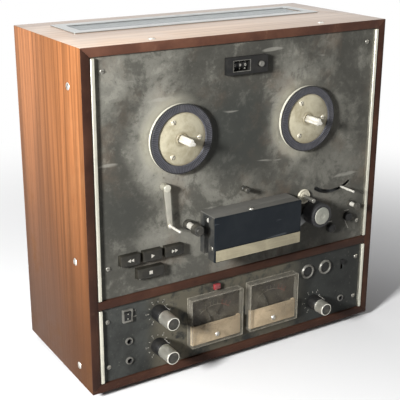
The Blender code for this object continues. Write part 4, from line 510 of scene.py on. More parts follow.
def stained_paint():
    """The deck plate's grey paint under years of grime, cleaner and warmer round the reel tables, with
    painted light on the tables' left sides and painted shade right of the left table, at the lower left and
    towards the bottom and right.
    """
    base = bpy.context.scene.tape_deck_finishes.deck
    made = Finish("stained_deck_paint", base, 0.42, Specular_IOR_Level=0.15)
    clouds = made.noise(7.0, (1, 1, 1), 7.0, 0.66, 0.3)
    blots = made.noise(24.0, (1, 1, 1), 8.0, 0.70, 0.25)
    fine = made.noise(110.0, (1, 1, 1), 8.0, 0.72)
    specks = made.noise(420.0, (1, 1, 1), 4.0, 0.65)
    clean_lit_halo = rubbed_and_lit = 0.0
    # Painted light: a pale halo and crescent on the left side of each reel table, the side towards the lamp,
    # over paint that is cleaner there.
    for _, x in REELS:
        centre = (x, 0, BASE_Z + REEL_Z)
        out = made.radius(centre)
        left = made.axis(0, centre).above(0.035, -0.030)
        clean_lit_halo = out.above(0.085, 0.050) * left + clean_lit_halo
        rubbed_and_lit = out.above(0.060, 0.047) * left + rubbed_and_lit
    # Painted shade: dark patches right of the left reel table, where its shadow falls, and at the lower left.
    shade = made.patches(SHADE_PATCHES)
    # Cleaner paint, lightened by the painted light and darkened by the painted shade.
    clean_light_and_shade = clean_lit_halo * 0.8 + made.patches(CLEAN_PATCHES) + clouds.above(0.44, 0.60) * 0.5 - shade * 0.7
    color = made.mix(clean_light_and_shade.math("MINIMUM", 1.0).math("MAXIMUM", 0.0), tone(base, 0.38), tone(base, 1.45))
    color = made.mix(blots.above(0.47, 0.58) * 0.7, color, tone(base, 0.30))
    color = made.mix(blots.above(0.46, 0.36) * 0.35, color, tone(base, 1.9))
    color = made.mix(fine.above(0.52, 0.72) * 0.28, color, tone(base, 1.5))
    color = made.mix(specks.above(0.58, 0.68) * 0.5, color, tone(base, 0.22))
    color = made.mix(shade.math("MINIMUM", 1.0) * 0.7, color, (0.038, 0.042, 0.039))
    # Painted shade: darker towards the bottom and towards the right.
    shade_falloff = made.axis(2).above(0.42, 0.14) * 0.32 + made.axis(0).above(-0.05, 0.22) * 0.15
    color = made.mix(shade_falloff, color, tone(base, 0.30))
    # Painted light: the pale crescent just left of each table, over cleaner paint.
    color = made.mix(rubbed_and_lit * clouds.above(0.70, 0.40) * 0.8, color, (0.46, 0.44, 0.36))
    warm = made.noise(15.0, (1, 1, 1), 6.0, 0.65).above(0.50, 0.72)
    color = made.mix(warm * 0.28, color, (0.20, 0.135, 0.09))
    scratch = made.noise(240.0, (0.05, 1, 0.30), 2.0, 0.5, 0.3).above(0.68, 0.73)
    made.set("Base Color", made.mix(scratch * 0.45, color, (0.42, 0.41, 0.36)))
    made.set("Roughness", clouds * 0.20 + fine * 0.25 + 0.25)
    return made.bump(specks * 0.4 + fine * 0.6, 0.00012, 0.5)


def charcoal_paint():
    """The amplifier plate's dark paint, worn to olive grey behind the knobs and round the meters, with
    painted shade darkening its right end.
    """
    base = bpy.context.scene.tape_deck_finishes.amplifier
    made = Finish("charcoal_paint", base, 0.45, Specular_IOR_Level=0.12)
    clouds = made.noise(11.0, (1, 1, 1), 7.0, 0.65, 0.3)
    blots = made.noise(46.0, (1, 1, 1), 7.0, 0.68, 0.3)
    specks = made.noise(300.0, (1, 1, 1), 4.0, 0.6)
    across = made.axis(0)
    worn = across.above(-0.150, -0.115) * across.above(0.120, 0.060)
    color = made.mix(clouds.above(0.36, 0.64), tone(base, 0.70), tone(base, 1.35))
    color = made.mix(worn * blots.above(0.66, 0.46) * 0.80, color, (0.132, 0.119, 0.087))
    color = made.mix(blots.above(0.50, 0.66) * 0.55, color, tone(base, 0.45))
    # Painted shade: darker towards the right end.
    color = made.mix(across.above(0.06, 0.16) * 0.6, color, tone(base, 0.45))
    made.set("Base Color", made.mix(specks.above(0.62, 0.72) * 0.3, color, (0.20, 0.19, 0.16)))
    made.set("Roughness", clouds * 0.3 + 0.3)
    return made.bump(specks * 0.5 + blots * 0.3, 0.0001, 0.5)


def satin_metal(name, color, roughness, along=(1, 1, 1), grime=0.35):
    """Satin metal with fine lines along the way it was finished, dulled by fingermarks and grime."""
    made = Finish(name, color, roughness, 1.0)
    lines = made.noise(700.0, along, 3.0, 0.5)
    film = made.noise(45.0, (1, 1, 1), 6.0, 0.62, 0.5)
    dull = film.above(0.45, 0.72)
    made.set("Base Color", made.mix(dull * grime, color, tone(color, 0.55)))
    made.set("Metallic", 1.0 - dull * grime * 0.6)
    made.set("Roughness", film * 0.22 + lines * 0.12 + (roughness - 0.14))
    return made.bump(lines, 0.00004, 0.4)


def filmed(name, color, roughness, metallic, film, reach, tones, rough=None, relief=None):
    """A finish under one uneven film, which changes its colour and, where given, its roughness and relief."""
    made = Finish(name, color, roughness, metallic)
    scale, detail, grain, distortion = film
    layer = made.noise(scale, detail=detail, roughness=grain, distortion=distortion)
    low, high, amount = reach
    made.set("Base Color", made.mix(layer.above(low, high) * amount, *tones))
    if rough:
        made.set("Roughness", layer * rough[0] + rough[1])
    return made.bump(layer, *relief) if relief else made


def trim_metal():
    return satin_metal("trim_metal", (0.66, 0.64, 0.54), 0.38, (1, 1, 0.02), 0.45)


def knob_metal():
    """Turned aluminium, bright along its flutes, with patches of grime."""
    made = Finish("knob_metal", (0.80, 0.78, 0.70), 0.26, 0.92)
    film = made.noise(60.0, (1, 1, 1), 5.0, 0.6, 0.5)
    lines = made.noise(700.0, (1, 0.03, 1), 3.0, 0.5)
    made.set("Base Color", made.mix(film.above(0.50, 0.80) * 0.2, (0.88, 0.86, 0.76), (0.62, 0.58, 0.46)))
    made.set("Roughness", film * 0.10 + 0.26)
    return made.bump(lines, 0.00002, 0.2)


def post_metal():
    return satin_metal("post_metal", (0.78, 0.77, 0.72), 0.2, (1, 0.05, 1), 0.3)


def arm_metal():
    return satin_metal("arm_metal", (0.50, 0.48, 0.41), 0.42, (1, 1, 0.05), 0.4)


def screw_metal():
    return satin_metal("screw_metal", (0.27, 0.26, 0.23), 0.38, (1, 1, 1), 0.5)


def bright_screw():
    return satin_metal("bright_screw", (0.72, 0.70, 0.64), 0.3, (1, 1, 1), 0.35)


def polished_metal():
    """Pale polished pins, spindles and guides, only half metallic, their pale colour a painted reflection
    that keeps them bright whatever stands round them.
    """
    return filmed(
        "polished_metal", (0.82, 0.80, 0.74), 0.26, 0.45, (60.0, 6.0, 0.62, 0.4), (0.46, 0.74, 0.35),
        ((0.72, 0.70, 0.63), (0.40, 0.37, 0.30)), rough=(0.25, 0.16))


def dull_metal():
    """Plated trims that have gone dull and dark."""
    return filmed(
        "dull_metal", (0.17, 0.165, 0.145), 0.4, 0.45, (90.0, 6.0, 0.65, 0.0), (0.38, 0.70, 1.0),
        ((0.19, 0.185, 0.165), (0.085, 0.080, 0.068)), (0.3, 0.26), (0.00004, 0.3))


def skirt_metal():
    """The pale satin wall of a reel table, stained in patches."""
    return filmed(
        "skirt_metal", (0.62, 0.60, 0.50), 0.4, 0.2, (60.0, 6.0, 0.65, 0.0), (0.45, 0.72, 0.5),
        ((0.66, 0.64, 0.54), (0.36, 0.32, 0.23)), (0.3, 0.25), (0.00005, 0.3))


def grille_metal():
    return satin_metal("grille_metal", (0.50, 0.51, 0.50), 0.34, (0.02, 1, 1), 0.4)


def mesh_wire():
    return satin_metal("mesh_wire", (0.52, 0.54, 0.54), 0.42, (1, 1, 1), 0.35)


def steel_sheet():
    return satin_metal("steel_sheet", (0.46, 0.46, 0.45), 0.42, (1, 1, 1), 0.5)


def dark_face():
    """The knobs' recessed end faces and other small dark turned parts."""
    return filmed(
        "knob_face", (0.03, 0.029, 0.025), 0.45, 0.0, (110.0, 5.0, 0.55, 0.0), (0.4, 0.7, 1.0),
        ((0.022, 0.021, 0.017), (0.065, 0.060, 0.048)), relief=(0.00005, 0.4))


def black_plastic():
    """Moulded black plastic with a fine grain and dust in its hollows."""
    made = Finish("black_plastic", (0.011, 0.011, 0.011), 0.42, Specular_IOR_Level=0.25)
    grain = made.noise(1100.0, detail=2.0)
    film = made.noise(70.0, detail=6.0, roughness=0.65)
    made.set("Roughness", film * 0.3 + 0.26)
    made.dusty((0.009, 0.009, 0.009), (0.055, 0.050, 0.042), 0.30, 85.0)
    return made.bump(grain, 0.00003, 0.5)


def key_plastic():
    """The keys' dark olive plastic, unevenly polished and dusty."""
    made = Finish("key_plastic", (0.022, 0.021, 0.017), 0.4, Specular_IOR_Level=0.3)
    film = made.noise(95.0, detail=6.0, roughness=0.65)
    made.set("Roughness", film * 0.35 + 0.22)
    made.dusty((0.014, 0.013, 0.010), (0.060, 0.054, 0.040), 0.35, 120.0)
    return made.bump(film, 0.00006, 0.4)


def rubber():
    """Black rubber with a matt bloom and tiny pits."""
    made = Finish("rubber", (0.016, 0.016, 0.016), 0.72)
    pits = made.noise(500.0, detail=3.0)
    made.dusty((0.009, 0.009, 0.010), (0.040, 0.038, 0.036), 0.45, 40.0)
    return made.bump(pits, 0.00005, 0.6)


def housing_paint():
    """The head housing's dark grey hammered paint, with a painted highlight making it pale along its top."""
    made = Finish("housing_paint", (0.045, 0.046, 0.047), 0.45, Specular_IOR_Level=0.25)
    film = made.noise(55.0, detail=7.0, roughness=0.65, distortion=0.5)
    fine = made.noise(420.0, detail=3.0)
    color = made.mix(film.above(0.40, 0.68), (0.022, 0.023, 0.023), (0.056, 0.054, 0.047))
    # Painted highlight: the top face and upper edge are made pale.
    top = made.axis(2).above(BASE_Z + HOUSING_TOP - 0.0012, BASE_Z + HOUSING_TOP - 0.0002)
    color = made.mix(top * 0.65, color, (0.16, 0.155, 0.14))
    made.set("Base Color", made.mix(fine.above(0.66, 0.74) * 0.4, color, (0.2, 0.19, 0.17)))
    made.set("Roughness", film * 0.3 + 0.3)
    return made.bump(fine, 0.00008, 0.5)


def cover_front():
    """The smooth blue-black face of the head cover, with a few long scratches."""
    made = Finish("cover_front", (0.004, 0.006, 0.009), 0.5, Specular_IOR_Level=0.2)
    film = made.noise(30.0, detail=6.0, roughness=0.6, distortion=0.6)
    scratch = made.noise(210.0, (0.06, 1, 0.5), 2.0, 0.5, 0.5).above(0.69, 0.73)
    color = made.mix(film.above(0.4, 0.7), (0.0035, 0.0060, 0.0090), (0.009, 0.012, 0.015))
    made.set("Base Color", made.mix(scratch * 0.5, color, (0.09, 0.10, 0.11)))
    made.set("Roughness", film * 0.25 + 0.36)
    return made.bump(film, 0.00005, 0.3)


def strip_metal():
    """The champagne strip along the cover, bare where a name would stand."""
    base = bpy.context.scene.tape_deck_finishes.strip
    made = Finish("strip_metal", base, 0.4, 0.65)
    lines = made.noise(600.0, (0.02, 1, 1), 3.0, 0.5)
    film = made.noise(40.0, detail=6.0, roughness=0.65, distortion=0.8)
    color = made.mix(film.above(0.38, 0.66), tone(base, 0.88), tone(base, 1.12))
    made.set("Base Color", made.mix(lines.above(0.4, 0.7) * 0.2, color, tone(base, 1.5)))
    made.set("Roughness", film * 0.25 + 0.27)
    return made.bump(lines, 0.00003, 0.4)


def table_ring(x):
    """The rim of a reel table: grey rubber with ribs, painted lighter on their tops and darker between them
    as painted light and shade, with patches of dust.
    """
    ribs = bpy.context.scene.tape_deck_details.table_ribs
    side = "left" if x < 0 else "right"
    made = Finish(f"table_ring_{side}", (0.05, 0.05, 0.06), 0.5, Specular_IOR_Level=0.3)
    wave = (made.turn((x, 0, BASE_Z + REEL_Z)) * ribs).math("COSINE") * 0.5 + 0.5
    film = made.noise(70.0, detail=6.0, roughness=0.6)
    # Painted light and shade: the ribs' tops lighter and the hollows between them darker.
    color = made.mix(wave.above(0.1, 0.9), (0.026, 0.026, 0.031), (0.080, 0.080, 0.092))
    made.set("Base Color", made.mix(film.above(0.45, 0.75) * 0.4, color, (0.14, 0.135, 0.135)))
    made.set("Roughness", film * 0.3 + 0.3)
    return made.bump(film, 0.0001, 0.4)


def cream_disc(x):
    """The yellowed plastic disc inside the rim, with a dirty ring round its hub, and darker in a band at its
    edge against the rim.
    """
    made = Finish(f"cream_disc_{'left' if x < 0 else 'right'}", (0.50, 0.46, 0.33), 0.42)
    film = made.noise(38.0, detail=8.0, roughness=0.68, distortion=0.3)
    specks = made.noise(260.0, detail=5.0, roughness=0.65)
    out = made.radius((x, 0, BASE_Z + REEL_Z))
    color = made.mix(film.above(0.38, 0.66), (0.52, 0.48, 0.35), (0.34, 0.30, 0.20))
    color = made.mix(specks.above(0.58, 0.70) * 0.4, color, (0.25, 0.20, 0.12))
    # Darker in a band at the disc's edge against the rim, and in a dirty ring round the hub.
    grime = out.above(0.0295, 0.0325) * 0.5 + out.above(0.011, 0.0075) * 0.45
    made.set("Base Color", made.mix(grime, color, (0.15, 0.12, 0.07)))
    made.set("Roughness", film * 0.35 + 0.25)
    return made.bump(film, 0.00005, 0.3)


def print_ink(name, color):
    """Silk-screened marks, slightly worn."""
    made = Finish(name, color, 0.5)
    worn = made.noise(260.0, detail=4.0).above(0.55, 0.72)
    made.set("Base Color", made.mix(worn * 0.55, color, tone(color, 0.45)))
    made.set("Roughness", worn * 0.2 + 0.4)
    return made


def pale_ink():
    return print_ink("pale_ink", (0.55, 0.53, 0.47))


# Black print for the needles, and painted shade in the screws' slots.
def dark_ink():
    return print_ink("dark_ink", (0.05, 0.045, 0.035))


def red_ink():
    return print_ink("red_ink", (0.20, 0.045, 0.03))


def faded_ink():
    return print_ink("faded_ink", (0.17, 0.155, 0.12))


def dial_card():
    """The meters' scale card, browned by smoke."""
    return filmed(
        "dial_card", (0.050, 0.044, 0.034), 0.7, 0.0, (50.0, 6.0, 0.65, 0.5), (0.35, 0.7, 1.0),
        ((0.018, 0.015, 0.011), (0.070, 0.060, 0.044)), relief=(0.00003, 0.2))


def beige_mask():
    """The beige metal strip that hides the lower part of each dial."""
    return filmed(
        "beige_mask", (0.42, 0.34, 0.23), 0.55, 0.0, (45.0, 6.0, 0.62, 0.6), (0.36, 0.68, 1.0),
        ((0.56, 0.44, 0.29), (0.40, 0.31, 0.20)), (0.3, 0.38), (0.00004, 0.3))


def smoky_pane():
    """The clear pane of a meter cover, with a film of smoke and fine scratches."""
    made = Finish("smoky_pane", (0.20, 0.18, 0.14), 0.14, IOR=1.49, Specular_IOR_Level=0.10)
    film = made.noise(40.0, detail=8.0, roughness=0.70, distortion=0.4)
    specks = made.noise(300.0, detail=5.0, roughness=0.65)
    scratch = made.noise(260.0, (0.08, 1, 0.6), 2.0, 0.5, 0.4).above(0.70, 0.74)
    made.set("Base Color", made.mix(film.above(0.40, 0.70), (0.10, 0.085, 0.062), (0.34, 0.31, 0.24)))
    made.set("Alpha", film.above(0.46, 0.76) * 0.20 + specks.above(0.60, 0.7) * 0.15 + scratch * 0.25 + 0.05)
    made.set("Roughness", film * 0.18 + 0.06)
    return made


def pane_wall():
    """The clear walls of a meter cover, seen edge on."""
    made = Finish("pane_wall", (0.30, 0.28, 0.23), 0.16, IOR=1.49, Specular_IOR_Level=0.2)
    film = made.noise(80.0, detail=6.0)
    made.set("Alpha", film.above(0.4, 0.7) * 0.16 + 0.16)
    made.set("Roughness", film * 0.2 + 0.08)
    return made


def pane_edge():
    """The cover's moulded edges, painted pale as a painted highlight where light runs along them."""
    made = Finish("pane_edge", (0.46, 0.43, 0.35), 0.25, IOR=1.49, Specular_IOR_Level=0.2)
    film = made.noise(120.0, detail=6.0)
    made.set("Alpha", film.above(0.3, 0.7) * 0.30 + 0.25)
    made.set("Roughness", film * 0.2 + 0.12)
    return made


def lamp_lens():
    """The ribbed red lens of the record lamp."""
    base = bpy.context.scene.tape_deck_finishes.lamp
    made = Finish("lamp_lens", base, 0.25, Coat_Weight=0.4, Coat_Roughness=0.1)
    ribs = (made.axis(0) * 5200.0).math("SINE") * 0.5 + 0.5
    film = made.noise(120.0, detail=5.0)
    made.set("Base Color", made.mix(film.above(0.4, 0.7) * 0.6, base, (0.16, 0.06, 0.055)))
    return made.bump(ribs, 0.0001, 0.4)


def roller_cap():
    """The painted cap of the pinch roller, greyed by tape dust."""
    return filmed(
        "roller_cap", (0.30, 0.30, 0.26), 0.42, 0.0, (60.0, 6.0, 0.65, 0.5), (0.38, 0.70, 1.0),
        ((0.26, 0.265, 0.225), (0.40, 0.39, 0.33)), (0.3, 0.26), (0.00005, 0.3))


def bush_bronze():
    """The pale bronze of the capstan's bearing and of the screws in the reel tables."""
    return filmed(
        "bush_bronze", (0.60, 0.56, 0.44), 0.3, 0.35, (80.0, 6.0, 0.6, 0.0), (0.42, 0.72, 0.5),
        ((0.66, 0.62, 0.50), (0.34, 0.29, 0.20)), rough=(0.25, 0.18))


def motor_paint():
    """Machine paint over cast and rolled parts inside the cabinet."""
    return filmed(
        "motor_paint", (0.16, 0.17, 0.18), 0.5, 0.5, (40.0, 6.0, 0.6, 0.0), (0.4, 0.7, 1.0),
        ((0.13, 0.14, 0.15), (0.26, 0.26, 0.25)), (0.3, 0.35), (0.0001, 0.3))


def rear_paint():
    """Black crackle paint on the rear cover."""
    made = Finish("rear_paint", (0.022, 0.022, 0.023), 0.6)
    cracks = made.cells(420.0)
    made.dusty((0.024, 0.024, 0.025), (0.11, 0.10, 0.09), 0.35, 30.0)
    return made.bump(cracks, 0.00015, 0.5)


def jack_plastic(name, color):
    """The coloured plastic of a line jack's ring."""
    return filmed(
        name, color, 0.35, 0.0, (140.0, 4.0, 0.55, 0.0), (0.5, 0.75, 0.4), (color, tone(color, 0.5)))


def arc(start, end, steps):
    return [start + (end - start) * i / steps for i in range(steps + 1)]


def circle(x, y, radius, steps=64):
    return [(x + radius * math.cos(a), y + radius * math.sin(a)) for a in arc(0, 2 * math.pi, steps)[:-1]]


def rectangle(x, y, width, height):
    right, top = width / 2, height / 2
    return [(x - right, y - top), (x + right, y - top), (x + right, y + top), (x - right, y + top)]


def soft_rectangle(x, y, width, height, radius, steps=3):
    """A rectangle with rounded corners."""
    return rounded(rectangle(x, y, width, height), radius, steps, closed=True)


def peg(radius, front, back):
    """The profile of a plain cylinder."""
    return [(0, front), (radius, front), (radius, back), (0, back)]


def clockwise(angle):
    """The way on the front that this angle points, counted clockwise from straight up."""
    return Vector((math.sin(angle), math.cos(angle)))


def rounded(points, radius, steps=3, closed=False):
    """The same outline with its corners rounded by up to this radius."""
    smooth = []
    count = len(points)
    for i, point in enumerate(points):
        if not closed and i in (0, count - 1):
            smooth.append(tuple(point))
            continue
        corner = Vector(point)
        before = Vector(points[i - 1]) - corner
        after = Vector(points[(i + 1) % count]) - corner
        reach = min(radius, before.length * CORNER_SHARE, after.length * CORNER_SHARE)
        first, last = corner + before.normalized() * reach, corner + after.normalized() * reach
        for step in range(steps + 1):
            t = step / steps
            smooth.append(tuple(first * (1 - t) ** 2 + corner * (2 * t * (1 - t)) + last * t ** 2))
    return smooth


def capsule(start, end, start_width, end_width, steps=16):
    """A tapered bar with round ends between two points."""
    first, last = Vector(start), Vector(end)
    heading = math.atan2(last.y - first.y, last.x - first.x)
    outline = []
    for centre, width, turn in ((first, start_width, math.pi / 2), (last, end_width, -math.pi / 2)):
        for a in arc(heading + turn, heading + turn + math.pi, steps):
            outline.append(tuple(centre + width / 2 * Vector((math.cos(a), math.sin(a)))))
    return outline


def arc_slot(centre, radius, width, start, end, steps=40):
    """A curved slot with round ends. Its angles count from straight down, to the right."""
    def on(r, a, middle=centre):
        return (middle[0] + r * math.sin(a), middle[1] - r * math.cos(a))

    outline = [on(radius + width / 2, a) for a in arc(start, end, steps)]
    outline += [on(width / 2, a, on(radius, end)) for a in arc(end, end + math.pi, 10)[1:-1]]
    outline += [on(radius - width / 2, a) for a in arc(end, start, steps)]
    around = arc(start + math.pi, start + 2 * math.pi, 10)[1:-1]
    outline += [on(width / 2, a, on(radius, start)) for a in around]
    return outline


def lobes(x, y, grow=0.0, steps=60):
    """The spindle's cross-section, a round core that swells into three lobes."""
    outline = []
    for a in arc(0, 2 * math.pi, steps)[:-1]:
        radius = SPINDLE_RADIUS + SPINDLE_LOBE * math.cos(3 * (a - math.pi / 2)) + grow
        outline.append((x + radius * math.cos(a), y + radius * math.sin(a)))
    return outline


def arm_end(pivot, length, angle):
    return (pivot[0] + length * math.sin(angle), pivot[1] - length * math.cos(angle))


def block_shape(low, high, edge=0.0, segments=2):
    """A box between two corners, with rounded edges."""
    low, high = Vector(low), Vector(high)
    shape = bmesh.new()
    bmesh.ops.create_cube(shape, size=1.0)
    bmesh.ops.scale(shape, vec=high - low, verts=shape.verts)
    bmesh.ops.translate(shape, vec=(low + high) / 2, verts=shape.verts)
    if edge:
        bmesh.ops.bevel(
            shape, geom=shape.edges[:], offset=edge, offset_type="OFFSET", segments=segments,
            profile=0.5, affect="EDGES", material=-1, clamp_overlap=True)
    return shape


def turned_shape(profile, steps=64, soft=0.0):
    """A turned shape from (radius, out) points, round the axis that stands out of the front."""
    shape = bmesh.new()
    points = rounded(profile, soft) if soft else profile
    made = [shape.verts.new((radius, 0.0, out)) for radius, out in points]
    edges = [shape.edges.new(pair) for pair in zip(made, made[1:])]
    bmesh.ops.spin(
        shape, geom=made + edges, cent=(0, 0, 0), axis=(0, 0, 1), angle=2 * math.pi,
        steps=steps, use_merge=True, use_duplicate=False)
    return shape


def curve_shape(curve):
    """The mesh of a curve that nothing else uses."""
    drawn = bpy.data.objects.new("outline", curve)
    bpy.context.scene.collection.objects.link(drawn)
    bpy.context.view_layer.update()
    graph = bpy.context.evaluated_depsgraph_get()
    mesh = bpy.data.meshes.new_from_object(drawn.evaluated_get(graph))
    bpy.data.objects.remove(drawn, do_unlink=True)
    bpy.data.curves.remove(curve)
    shape = bmesh.new()
    shape.from_mesh(mesh)
    bpy.data.meshes.remove(mesh)
    bmesh.ops.remove_doubles(shape, verts=shape.verts, dist=MERGE)
    return shape


def sheet_shape(outlines, back, front, edge=0.0):
    """A flat shape from outlines, whose inner ones are holes, with its sharp edges rounded."""
    curve = bpy.data.curves.new("outline", "CURVE")
    curve.dimensions = "2D"
    curve.fill_mode = "BOTH"
    curve.extrude = (front - back) / 2
    for outline in outlines:
        spline = curve.splines.new("POLY")
        spline.points.add(len(outline) - 1)
        for point, (x, y) in zip(spline.points, outline):
            point.co = (x, y, 0, 1)
        spline.use_cyclic_u = True
    shape = curve_shape(curve)
    bmesh.ops.translate(shape, vec=(0, 0, (front + back) / 2), verts=shape.verts)
    if edge:
        soften(shape, edge)
    return shape


def soften(shape, edge):
    """Rounds the sharp edges of a shape."""
    bmesh.ops.recalc_face_normals(shape, faces=shape.faces)
    sharp = [e for e in shape.edges if e.calc_face_angle(0.0) > SOFTENED_ANGLE]
    bmesh.ops.bevel(
        shape, geom=sharp, offset=edge, offset_type="OFFSET", segments=2,
        profile=0.5, affect="EDGES", material=-1, clamp_overlap=True)


def text_shape(text, size, depth):
    """Raised characters, centred on their place."""
    curve = bpy.data.curves.new("words", "FONT")
    curve.body = text
    curve.size = size
    curve.extrude = depth
    curve.resolution_u = 3
    curve.align_x = "CENTER"
    curve.align_y = "CENTER"
    return curve_shape(curve)


class Form:
    """A piece in the making, in front coordinates, or in the scene's own when front is False."""

    def __init__(self, front=True):
        self.bm = bmesh.new()
        self.finishes = []
        self.front = front

    def number(self, finish):
        """Where a finish, given as its material or its maker, stands among the piece's materials."""
        material = finish_of(finish) if callable(finish) else finish
        if material not in self.finishes:
            self.finishes.append(material)
        return self.finishes.index(material)

    def add(self, shape, finish, matrix=None):
        """Joins a shape to the piece and gives its faces a material."""
        number = self.number(finish)
        bmesh.ops.remove_doubles(shape, verts=shape.verts, dist=MERGE)
        bmesh.ops.recalc_face_normals(shape, faces=shape.faces)
        for face in shape.faces:
            face.material_index = number
        if matrix is not None:
            shape.transform(matrix)
        mesh = bpy.data.meshes.new("shape")
        shape.to_mesh(mesh)
        shape.free()
        self.bm.from_mesh(mesh)
        bpy.data.meshes.remove(mesh)

    def block(self, finish, low, high, edge=0.0, segments=2, matrix=None):
        self.add(block_shape(low, high, edge, segments), finish, matrix)

    def panel(self, finish, x, y, width, height, back, front, edge=0.0, segments=2):
        """A box on the front, by its middle and its size."""
        low = (x - width / 2, y - height / 2, back)
        high = (x + width / 2, y + height / 2, front)
        self.block(finish, low, high, edge, segments)

    def turned(self, finish, profile, x=0.0, y=0.0, steps=64, matrix=None, soft=0.0):
        moved = Matrix.Translation((x, y, 0)) if matrix is None else matrix
        self.add(turned_shape(profile, steps, soft), finish, moved)

    def sheet(self, finish, outlines, back, front, edge=0.0, matrix=None):
        self.add(sheet_shape(outlines, back, front, edge), finish, matrix)

    def words(self, finish, text, size, matrix, depth=0.00005):
        self.add(text_shape(text, size, depth), finish, matrix)

    def repaint(self, finish, way, place):
        """Gives the faces that look this way, this far along it, another material."""
        number = self.number(finish)
        self.bm.normal_update()
        for face in self.bm.faces:
            if face.normal.dot(way) > 0.2 and abs(face.calc_center_median().dot(way) - place) < 0.0006:
                face.material_index = number

    def made(self, name, body="deck", stands_for=(), slot=None):
        """The finished object, which rides on a body and stands for CAD nodes."""
        if self.front:
            bmesh.ops.transform(self.bm, matrix=FRONT, verts=self.bm.verts)
        bmesh.ops.remove_doubles(self.bm, verts=self.bm.verts, dist=MERGE)
        bmesh.ops.recalc_face_normals(self.bm, faces=self.bm.faces)
        mesh = bpy.data.meshes.new(name)
        self.bm.to_mesh(mesh)
        self.bm.free()
        for finish in self.finishes:
            mesh.materials.append(finish)
        mesh.shade_smooth()
        mesh.set_sharp_from_angle(angle=SHARP_ANGLE)
        obj = bpy.data.objects.new(name, mesh)
        bpy.context.scene.collection.objects.link(obj)
        if stands_for:
            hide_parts(*stands_for)
        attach(obj, body)
        return obj


def lifted(x, y, out=0.0, turn=0.0):
    """A place on the front, turned about its own axis."""
    return Matrix.Translation((x, y, out)) @ Matrix.Rotation(turn, 4, "Z")


def slotted_screw(form, matrix, radius=SCREW_RADIUS, head=SCREW_HEAD, turn=0.4, finish=screw_metal):
    """A low domed screw with a slot, standing on its seat; the slot is a thin dark sheet on the dome, painted
    shade.
    """
    profile = [(0, head), (radius * 0.55, head * 0.92), (radius, head * 0.35), (radius, -head), (0, -head)]
    form.turned(finish, profile, steps=32, matrix=matrix, soft=radius * 0.2)
    slot = matrix @ Matrix.Rotation(turn, 4, "Z")
    groove = (radius * 0.85, radius * 0.12, head * 0.05)
    lift = head * 0.95
    low = (-groove[0], -groove[1], lift - groove[2])
    form.block(dark_ink, low, (groove[0], groove[1], lift + groove[2]), matrix=slot)


class Piece:
    """What every operator of the deck shares."""

    bl_options = {"REGISTER", "UNDO"}


def mitred(form, finish, ends, edge):
    """A board as deep as the cabinet, whose outline on the front has mitred ends."""
    form.sheet(finish, [ends], PANEL_RECESS - DEPTH, PANEL_RECESS, edge)


